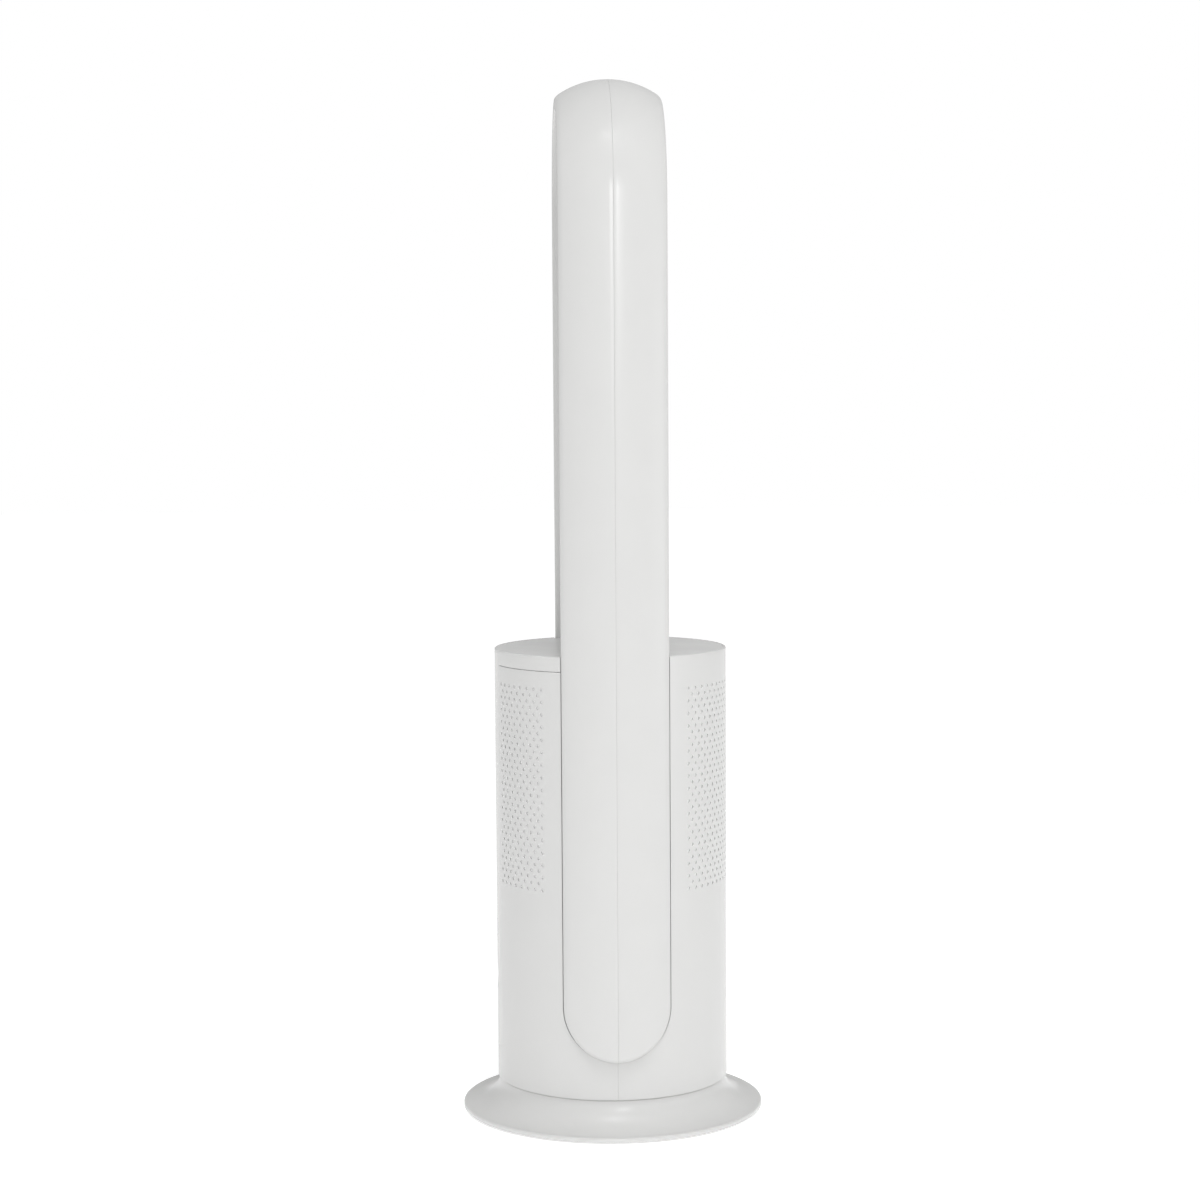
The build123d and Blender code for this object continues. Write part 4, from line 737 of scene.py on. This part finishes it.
# %% Model the inner band
BAND_FRONT, BAND_BACK, RAMP_START, RAMP_END = -41.85, 38, 12, 30
BAND_MIDDLE, RAMP_STEPS, RAMP_DROP, BAND_THICKNESS, BAND_GAP = -20, 13, 4.2, 2, 0.15
ramp_y = np.linspace(RAMP_START, RAMP_END, RAMP_STEPS)
band_y = np.concatenate([[BAND_FRONT, BAND_MIDDLE, 0], ramp_y, [BAND_BACK]])
ramp = np.clip((band_y - RAMP_START) / (RAMP_END - RAMP_START), 0, 1)
band_x = LOOP_INNER + RAMP_DROP * ramp**2 * (3 - 2 * ramp)
band_stations = leg_stations(SLOT_START + BAND_GAP)
band_outside, band_quads = grid_sheet(loop_path(band_y, band_x, band_stations))
band_inside, _ = grid_sheet(loop_path(band_y, band_x + BAND_THICKNESS, band_stations))
band = closed_wall(band_outside, band_inside, band_quads[:, ::-1])
inner_band = mesh_piece("inner_band", *band)

# %% [markdown]
# ## Finishes
#
# Every finish starts from what the real piece is made of and how it was made. A small function
# turns a printed sRGB colour into the linear numbers that a shader needs, and one helper adds a
# node, sets it and links it, so that a finish reads as a list of its layers. All patterns read
# Object coordinates, in metres, so a pattern's scale is one over its real size, and no piece needs
# to be unwrapped.

# %% Colour and node helpers
def linear(code):
    """sRGB hex to linear: v / 12.92 for dark values, ((v + 0.055) / 1.055) ^ 2.4 for the rest."""
    value = np.array([int(code[i:i + 2], 16) for i in (0, 2, 4)]) / 255
    curve = np.where(value <= 0.04045, value / 12.92, ((value + 0.055) / 1.055) ** 2.4)
    return (*curve.tolist(), 1.0)


def add(tree, kind, settings, links=()):
    """Adds a node, gives it its properties and input values, and links outputs to its inputs."""
    node = tree.nodes.new(kind)
    for key, value in settings.items():
        if isinstance(key, int) or key in node.inputs:
            node.inputs[key].default_value = value
        else:
            setattr(node, key, value)
    for key, output in dict(links).items():
        tree.links.new(output, node.inputs[key])
    return node


def new_finish(name, shader):
    """A material with a Principled shader and the Object coordinates that its patterns read."""
    finish = bpy.data.materials.new(name)
    finish.use_nodes = True
    tree = finish.node_tree
    tree.nodes.clear()
    principled = add(tree, "ShaderNodeBsdfPrincipled", shader)
    add(tree, "ShaderNodeOutputMaterial", {}, {"Surface": principled.outputs["BSDF"]})
    place = add(tree, "ShaderNodeTexCoord", {}).outputs["Object"]
    return finish, tree, principled, place


def per_metre(size):
    """A noise scale for features of that many millimetres."""
    return 1000 / size


finish = {}
print("a mid grey of 808080 is", round(linear("808080")[0], 3), "in linear light")

# %% [markdown]
# ### Moulded and cast surfaces
#
# A moulded plastic takes its gloss and its fine grain from the mould's steel. Its colour clouds very
# slightly where the melt flowed, and large flat walls are never quite flat, which bends a reflection.
# The same four layers, with other numbers, make paint, rubber and ferrite too: a cloud of two near
# colours, a patchy roughness, a long shallow wave and a fine grain.

# %% A finish for anything moulded, cast or painted
LONG_WAVE = 90.0


def moulded(name, dark, light, rough, grain, depth, cloud=35.0, wave=0.02, **shader):
    """Two clouded colours, a patchy roughness, and a bump of fine grain over a long wave.

    Sizes and depths are in millimetres. The colour is dark + (light - dark) n, where n is a noise
    from 0 to 1, and the roughness follows the same noise.
    """
    finish, tree, principled, place = new_finish(name, shader)
    clouds = add(
        tree, "ShaderNodeTexNoise", {"Scale": per_metre(cloud), "Detail": 3.0}, {"Vector": place}
    )
    colour = add(
        tree, "ShaderNodeMix",
        {"data_type": "RGBA", 6: linear(dark), 7: linear(light)}, {0: clouds.outputs["Fac"]},
    )
    patches = add(
        tree, "ShaderNodeMapRange", {"To Min": rough[0], "To Max": rough[1]},
        {"Value": clouds.outputs["Fac"]},
    )
    long_wave = add(
        tree, "ShaderNodeTexNoise", {"Scale": per_metre(LONG_WAVE), "Detail": 0.0}, {"Vector": place}
    )
    grains = add(
        tree, "ShaderNodeTexNoise", {"Scale": per_metre(grain), "Detail": 2.0}, {"Vector": place}
    )
    waved = add(
        tree, "ShaderNodeBump", {"Distance": wave / 1000}, {"Height": long_wave.outputs["Fac"]}
    )
    grained = add(
        tree, "ShaderNodeBump", {"Distance": depth / 1000},
        {"Height": grains.outputs["Fac"], "Normal": waved.outputs["Normal"]},
    )
    tree.links.new(colour.outputs[2], principled.inputs["Base Color"])
    tree.links.new(patches.outputs["Result"], principled.inputs["Roughness"])
    tree.links.new(grained.outputs["Normal"], principled.inputs["Normal"])
    return finish


print("a flat wall waves over about", LONG_WAVE, "mm")

# %% [markdown]
# ### The white plastic
#
# All the covers are white ABS, moulded in one colour and not painted. What the eye knows it by is
# the soft edge of its highlights. Two shades a hair apart keep large faces from looking flat.

# %% White ABS
# White ABS from a fine-blasted mould: a soft sheen that spreads a highlight into a long streak.
finish["white_abs"] = moulded(
    "moulded_white_abs", "C9C9C8", "CCCCCB",
    rough=(0.22, 0.28), grain=0.8, depth=0.001, wave=0.03, IOR=1.53,
)
# The button comes from a polished mould, so it is glossier than the panel round it.
finish["button_abs"] = moulded(
    "polished_white_abs", "DCDCDB", "E1E1E0",
    rough=(0.14, 0.2), grain=1.5, depth=0.001, IOR=1.53,
)
print("covers and button:", ", ".join(finish))

# %% [markdown]
# ### Plastic and rubber that stay out of sight
#
# Ducts, gears, feet and seals are chosen for what they do, and keep the colour they come in. They
# show only through gaps or when the model is taken apart.

# %% Polypropylene, acetal and rubber
# Inner ducts are unpainted grey polypropylene, whose blasted mould leaves them matt.
finish["inner_plastic"] = moulded(
    "blasted_grey_polypropylene", "A9ABAC", "B6B8B9",
    rough=(0.5, 0.62), grain=0.5, depth=0.02, IOR=1.49,
)
# Acetal gears are creamy and slick.
finish["gear_plastic"] = moulded(
    "moulded_acetal", "E2DFD3", "EAE7DC",
    rough=(0.28, 0.36), grain=0.6, depth=0.004, IOR=1.48,
)
# Feet, seals and isolators are soft black rubber with a dusty bloom.
finish["rubber"] = moulded(
    "moulded_black_rubber", "1C1C1D", "2B2B2C",
    rough=(0.7, 0.85), grain=0.7, depth=0.03, cloud=12, IOR=1.52,
)
print(len(finish), "finishes so far")

# %% [markdown]
# ### Dark parts and plated metal
#
# Painted steel, ferrite, black nylon and a smoked window are all nearly black, and only their gloss
# tells them apart. Zinc plating is bright metal, so its base colour tints what it reflects.

# %% Painted steel, ferrite, nylon, smoked window and zinc
# The ballast ring is cut steel plate under matt black paint.
finish["ballast_steel"] = moulded(
    "painted_steel_plate", "232426", "303235",
    rough=(0.42, 0.55), grain=1.2, depth=0.03, cloud=18, IOR=1.5,
)
# Ferrite is a pressed and sintered powder, dark and slightly grainy.
finish["magnet"] = moulded(
    "sintered_ferrite", "2C2C2E", "3A3A3C",
    rough=(0.45, 0.6), grain=0.4, depth=0.02, cloud=8, IOR=1.9,
)
# Switch, driver parts and inlet are black glass-filled nylon.
finish["component_black"] = moulded(
    "glass_filled_black_nylon", "161617", "222224",
    rough=(0.38, 0.5), grain=0.45, depth=0.015, cloud=10, IOR=1.53,
)
# The display's window is smoked polycarbonate, polished and nearly black until it is lit.
finish["smoked_lens"] = moulded(
    "smoked_polycarbonate", "17191B", "1D2023",
    rough=(0.05, 0.09), grain=3.0, depth=0.001, IOR=1.58,
)
# Screws and shafts are zinc-plated: bright grey metal with a faint crystalline mottle.
finish["steel"] = moulded(
    "zinc_plated_steel", "9DA0A3", "C2C4C6",
    rough=(0.22, 0.4), grain=0.35, depth=0.006, cloud=3, Metallic=1.0,
)
print(len(finish), "moulded, cast and plated finishes")

# %% [markdown]
# ### Surfaces with a pattern of their own
#
# A filter cloth, a stack of laminations and a winding are all made of lines a fixed distance apart.
# A sine wave of a coordinate draws such lines exactly, where a Wave texture would bend them.

# %% Evenly spaced lines
def lines(tree, value, spacing):
    """0 to 1 and back over each spacing, in metres: half of 1 + sin(2 pi value / spacing)."""
    turns = add(
        tree, "ShaderNodeMath", {"operation": "MULTIPLY", 1: 2 * np.pi / spacing}, {0: value}
    )
    swing = add(tree, "ShaderNodeMath", {"operation": "SINE"}, {0: turns.outputs[0]})
    raised = add(
        tree, "ShaderNodeMath", {"operation": "MULTIPLY_ADD", 1: 0.5, 2: 0.5},
        {0: swing.outputs[0]},
    )
    return raised.outputs[0]


def coloured_by(tree, principled, height, low, high, depth):
    """Mixes two colours by a height and raises the surface by it."""
    colour = add(
        tree, "ShaderNodeMix", {"data_type": "RGBA", 6: linear(low), 7: linear(high)}, {0: height}
    )
    bump = add(tree, "ShaderNodeBump", {"Distance": depth / 1000}, {"Height": height})
    tree.links.new(colour.outputs[2], principled.inputs["Base Color"])
    tree.links.new(bump.outputs["Normal"], principled.inputs["Normal"])


print("helpers made:", lines.__name__, "and", coloured_by.__name__)

# %% [markdown]
# ### The filter cloth
#
# The dust filter is a plain weave of thin nylon threads, which looks like pale gauze. One set of
# threads stands upright and the other goes round the body, so its lines are set out by arc length:
# the angle round the axis times the radius. The higher of the two lies on top.

# %% Woven nylon
# Its real threads are 0.3 mm apart, drawn at 0.8 mm so that they show. The arc is measured a little
# inside the cloth.
THREAD_SPACING, WEAVE_RADIUS = 0.0008, 0.102
cloth, tree, principled, place = new_finish(
    "woven_nylon_filter", {"Roughness": 0.6, "IOR": 1.53, "Sheen Weight": 0.2}
)
axes = add(tree, "ShaderNodeSeparateXYZ", {}, {0: place})
round_axis = add(
    tree, "ShaderNodeMath", {"operation": "ARCTAN2"}, {0: axes.outputs[1], 1: axes.outputs[0]}
)
arc_length = add(
    tree, "ShaderNodeMath", {"operation": "MULTIPLY", 1: WEAVE_RADIUS},
    {0: round_axis.outputs[0]},
)
warp = lines(tree, arc_length.outputs[0], THREAD_SPACING)
weft = lines(tree, axes.outputs[2], THREAD_SPACING)
weave = add(tree, "ShaderNodeMath", {"operation": "MAXIMUM"}, {0: warp, 1: weft})
coloured_by(tree, principled, weave.outputs[0], "D6D7D7", "EAEAEA", 0.1)
finish["dust_mesh"] = cloth
print("threads drawn", THREAD_SPACING * 1000, "mm apart")

# %% [markdown]
# ### Inside the motor
#
# The motor's core and its windings are metal in thin layers, one of sheets and one of wire. Both
# are lines across the height, which a bump turns into ridges. Real layers would be thousands of
# faces that nobody sees.

# %% Laminations and windings
SHEET_SPACING, WIRE_SPACING = 0.0005, 0.0006
# The motor's core is a stack of 0.5 mm sheets of silicon steel, each with a dark insulated edge.
core, tree, principled, place = new_finish(
    "stacked_silicon_steel", {"Metallic": 1.0, "Roughness": 0.42}
)
axes = add(tree, "ShaderNodeSeparateXYZ", {}, {0: place})
sheets = lines(tree, axes.outputs[2], SHEET_SPACING)
coloured_by(tree, principled, sheets, "4A4B4E", "8E9094", 0.05)
finish["laminations"] = core

# The windings are 0.6 mm copper wire in clear enamel, laid in level turns.
winding, tree, principled, place = new_finish(
    "enamelled_copper_wire", {"Metallic": 1.0, "Roughness": 0.25, "Coat Weight": 0.6}
)
axes = add(tree, "ShaderNodeSeparateXYZ", {}, {0: place})
wires = lines(tree, axes.outputs[2], WIRE_SPACING)
coloured_by(tree, principled, wires, "6E3417", "C5743C", 0.2)
finish["copper"] = winding
print("sheets of", SHEET_SPACING * 1000, "mm and wire of", WIRE_SPACING * 1000, "mm")

# %% [markdown]
# ### Circuit boards
#
# A circuit board is glass fibre under green solder mask, which stands up a little over its tracks.
# Square Voronoi cells look like pads and tracks without a drawing of a real circuit.

# %% Solder mask
PAD_SIZE = 6.0
board, tree, principled, place = new_finish(
    "solder_masked_board", {"Roughness": 0.28, "IOR": 1.55, "Coat Weight": 0.3}
)
tracks = add(
    tree, "ShaderNodeTexVoronoi", {"distance": "CHEBYCHEV", "Scale": per_metre(PAD_SIZE)},
    {"Vector": place},
)
edge = add(
    tree, "ShaderNodeMapRange", {"From Min": 0.25, "From Max": 0.32},
    {"Value": tracks.outputs["Distance"]},
)
coloured_by(tree, principled, edge.outputs["Result"], "14532F", "1E6B3F", 0.035)
finish["circuit_board"] = board
print(len(finish), "finishes in all")

# %% [markdown]
# ## Pieces, bodies and finishes
#
# Each new skin stands for the measured pieces it hides and moves with their body. Every measured
# piece that still shows gets the finish of its own slot.

# %% Put every piece on its body and give it a finish
skins = [
    (base_cover, "base", "white_abs", ["base_plate"]),
    (front_cover, "tower", "white_abs", ["front_shell", "front_right_screen", "front_left_screen"]),
    (rear_cover, "tower", "white_abs", ["rear_shell", "rear_screen"]),
    (cap, "tower", "white_abs", ["top_cap"]),
    (loop_front, "tower", "white_abs", ["loop_front_shell"]),
    (loop_rear, "tower", "white_abs", ["loop_rear_shell"]),
    (inner_band, "tower", "white_abs", ["loop_inner_band"]),
    (rear_cloth, "tower", "dust_mesh", ["rear_dust_mesh"]),
    (front_cloth, "tower", "dust_mesh", ["front_dust_mesh"]),
]
for piece, body, slot, hidden in skins:
    piece.data.materials.append(finish[slot])
    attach(piece, body)
    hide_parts(*hidden)
for node in nodes.values():
    for node_slot in node.material_slots:
        node_slot.material = finish[node_slot.material.name.split(".")[0]]
print(len(skins), "skins over", sum(len(hidden) for *_, hidden in skins), "measured pieces")

# %% [markdown]
# ## The floor
#
# The fan stands on a matt painted board that runs out of sight. A white ground that is lit by the
# same lamps as a white object comes out grey, so the board also glows a little, as a light table
# does.

# %% Lay the floor
FLOOR_HALF, FLOOR_GLOW = 12.0, 0.34
floor_mesh = bpy.data.meshes.new("studio_floor")
floor_corners = np.array([[-1, -1, 0], [1, -1, 0], [1, 1, 0], [-1, 1, 0]]) * FLOOR_HALF
floor_mesh.from_pydata(floor_corners.tolist(), [], [(0, 1, 2, 3)])
floor = bpy.data.objects.new("studio_floor", floor_mesh)
bpy.context.scene.collection.objects.link(floor)
# The paint has a roller's orange peel. Its real dimples are 1 mm apart, drawn at 2 mm.
floor_mesh.materials.append(moulded(
    "matt_white_floor_paint", "FBFBFB", "FFFFFF",
    rough=(0.85, 0.95), grain=2.0, depth=0.01, cloud=400,
    **{"IOR": 1.4, "Emission Color": linear("FFFFFF"), "Emission Strength": FLOOR_GLOW},
))
print("floor", 2 * FLOOR_HALF, "m square")

# %% [markdown]
# ## The lamps
#
# A white object on a white ground shows its form only through gentle shading. A softbox high in
# front shades it from above, a low narrow one draws the streak of light down the loop, a dim one on
# the base fills in what the tower shades, and a tall one to the side lights the body's edge. A sun
# lamp would be simpler, but its hard shadows are not those of a studio.

# %% Hang the softboxes
def softbox(name, aim, distance, azimuth, elevation, width, height, watts):
    """An area light on a sphere round aim, turned to face it. Azimuth 0 is +X, 90 is +Y."""
    turn, climb = np.radians(azimuth), np.radians(elevation)
    away = Vector((np.cos(turn) * np.cos(climb), np.sin(turn) * np.cos(climb), np.sin(climb)))
    lamp = bpy.data.lights.new(name, "AREA")
    lamp.shape, lamp.size, lamp.size_y, lamp.energy = "RECTANGLE", width, height, watts
    light = bpy.data.objects.new(name, lamp)
    light.matrix_world = (
        Matrix.Translation(Vector(aim) + distance * away)
        @ away.to_track_quat("Z", "Y").to_matrix().to_4x4()
    )
    bpy.context.scene.collection.objects.link(light)
    return light


# The numbers after a name are its aim, distance, azimuth, elevation, width, height and watts.
high_softbox = softbox("high_front_softbox", (0, 0, 0.4), 2.8, 18, 62, 1.4, 1.2, 20)
low_softbox = softbox("low_front_softbox", (0, 0, 0.84), 2.7, 6, 9, 0.22, 0.75, 8)
base_softbox = softbox("base_fill_softbox", (0.1, 0, 0.02), 2.0, 0, 70, 0.4, 0.4, 0.1)
side_softbox = softbox("side_strip_softbox", (0, 0, 0.3), 2.4, 60, 4, 0.08, 0.9, 1.2)
# The high softbox only shades. Its mirror image would be a broad patch on the arch.
high_softbox.visible_glossy = False
# A grid over the base's softbox keeps its light on the base.
GRID_SPREAD = np.radians(24)
base_softbox.data.spread = GRID_SPREAD
softboxes = (high_softbox, low_softbox, base_softbox, side_softbox)
total_watts = sum(light.data.energy for light in softboxes)
print(round(total_watts, 1), "W in", len(softboxes), "softboxes")

# %% [markdown]
# ## The white surround
#
# White walls all round give most of the light. They are a little brighter in front than behind, and
# the camera sees them as pure white. A dome mesh could do the same, but a world needs no geometry.

# %% Surround the scene with white
SURROUND_LEVEL, SURROUND_TILT = 0.69, (0.12, 0.01, 0.03)
surround = bpy.data.worlds.new("white_surround")
surround.use_nodes = True
sky = surround.node_tree
background = sky.nodes["Background"]
way = add(sky, "ShaderNodeTexCoord", {})
across = add(
    sky, "ShaderNodeVectorMath", {"operation": "DOT_PRODUCT", 1: SURROUND_TILT},
    {0: way.outputs["Generated"]},
)
dimmed = add(
    sky, "ShaderNodeMath", {"operation": "ADD", 1: SURROUND_LEVEL}, {0: across.outputs["Value"]}
)
seen = add(sky, "ShaderNodeLightPath", {})
strength = add(
    sky, "ShaderNodeMath", {"operation": "MAXIMUM"},
    {0: dimmed.outputs[0], 1: seen.outputs["Is Camera Ray"]},
)
sky.links.new(strength.outputs[0], background.inputs["Strength"])
background.inputs["Color"].default_value = linear("FFFFFF")
bpy.context.scene.world = surround
bpy.context.scene.view_settings.view_transform = "Standard"
print("surround", SURROUND_LEVEL, "of full white")

# %% [markdown]
# ## The camera
#
# The camera looks at the fan's side from 2.45 m away and 0.67 m up, tipped down a little, with a
# lens of about 80 mm. Its axes are worked out from those angles. A Track To constraint would aim it
# too, but it could not hold the slight roll.

# %% Place the camera
DISTANCE, HEIGHT, YAW = 2.4546, 0.6742, 0.04695
PAN, PITCH, ROLL = 0.0037, np.radians(4.622), np.radians(-0.3625)
FOCAL, SENSOR, FAR_END = 79.494, 36.0, 100.0
camera_data = bpy.data.cameras.new("side_camera")
camera_data.lens, camera_data.sensor_width = FOCAL, SENSOR
camera_data.clip_end = FAR_END
camera = bpy.data.objects.new("side_camera", camera_data)
level = Vector((-np.cos(YAW), np.sin(YAW), 0))
level.rotate(Matrix.Rotation(PAN, 3, "Z"))
forward = level * np.cos(PITCH) - Vector((0, 0, np.sin(PITCH)))
right = forward.cross(Vector((0, 0, 1))).normalized()
up = right.cross(forward)
rolled_right = right * np.cos(ROLL) + up * np.sin(ROLL)
rolled_up = up * np.cos(ROLL) - right * np.sin(ROLL)
axes_matrix = Matrix((rolled_right, rolled_up, -forward)).transposed().to_4x4()
spot = Vector((DISTANCE * np.cos(YAW), -DISTANCE * np.sin(YAW), HEIGHT))
camera.matrix_world = Matrix.Translation(spot) @ axes_matrix
bpy.context.scene.collection.objects.link(camera)
bpy.context.scene.camera = camera
print("camera at", [round(place, 3) for place in spot], "m")
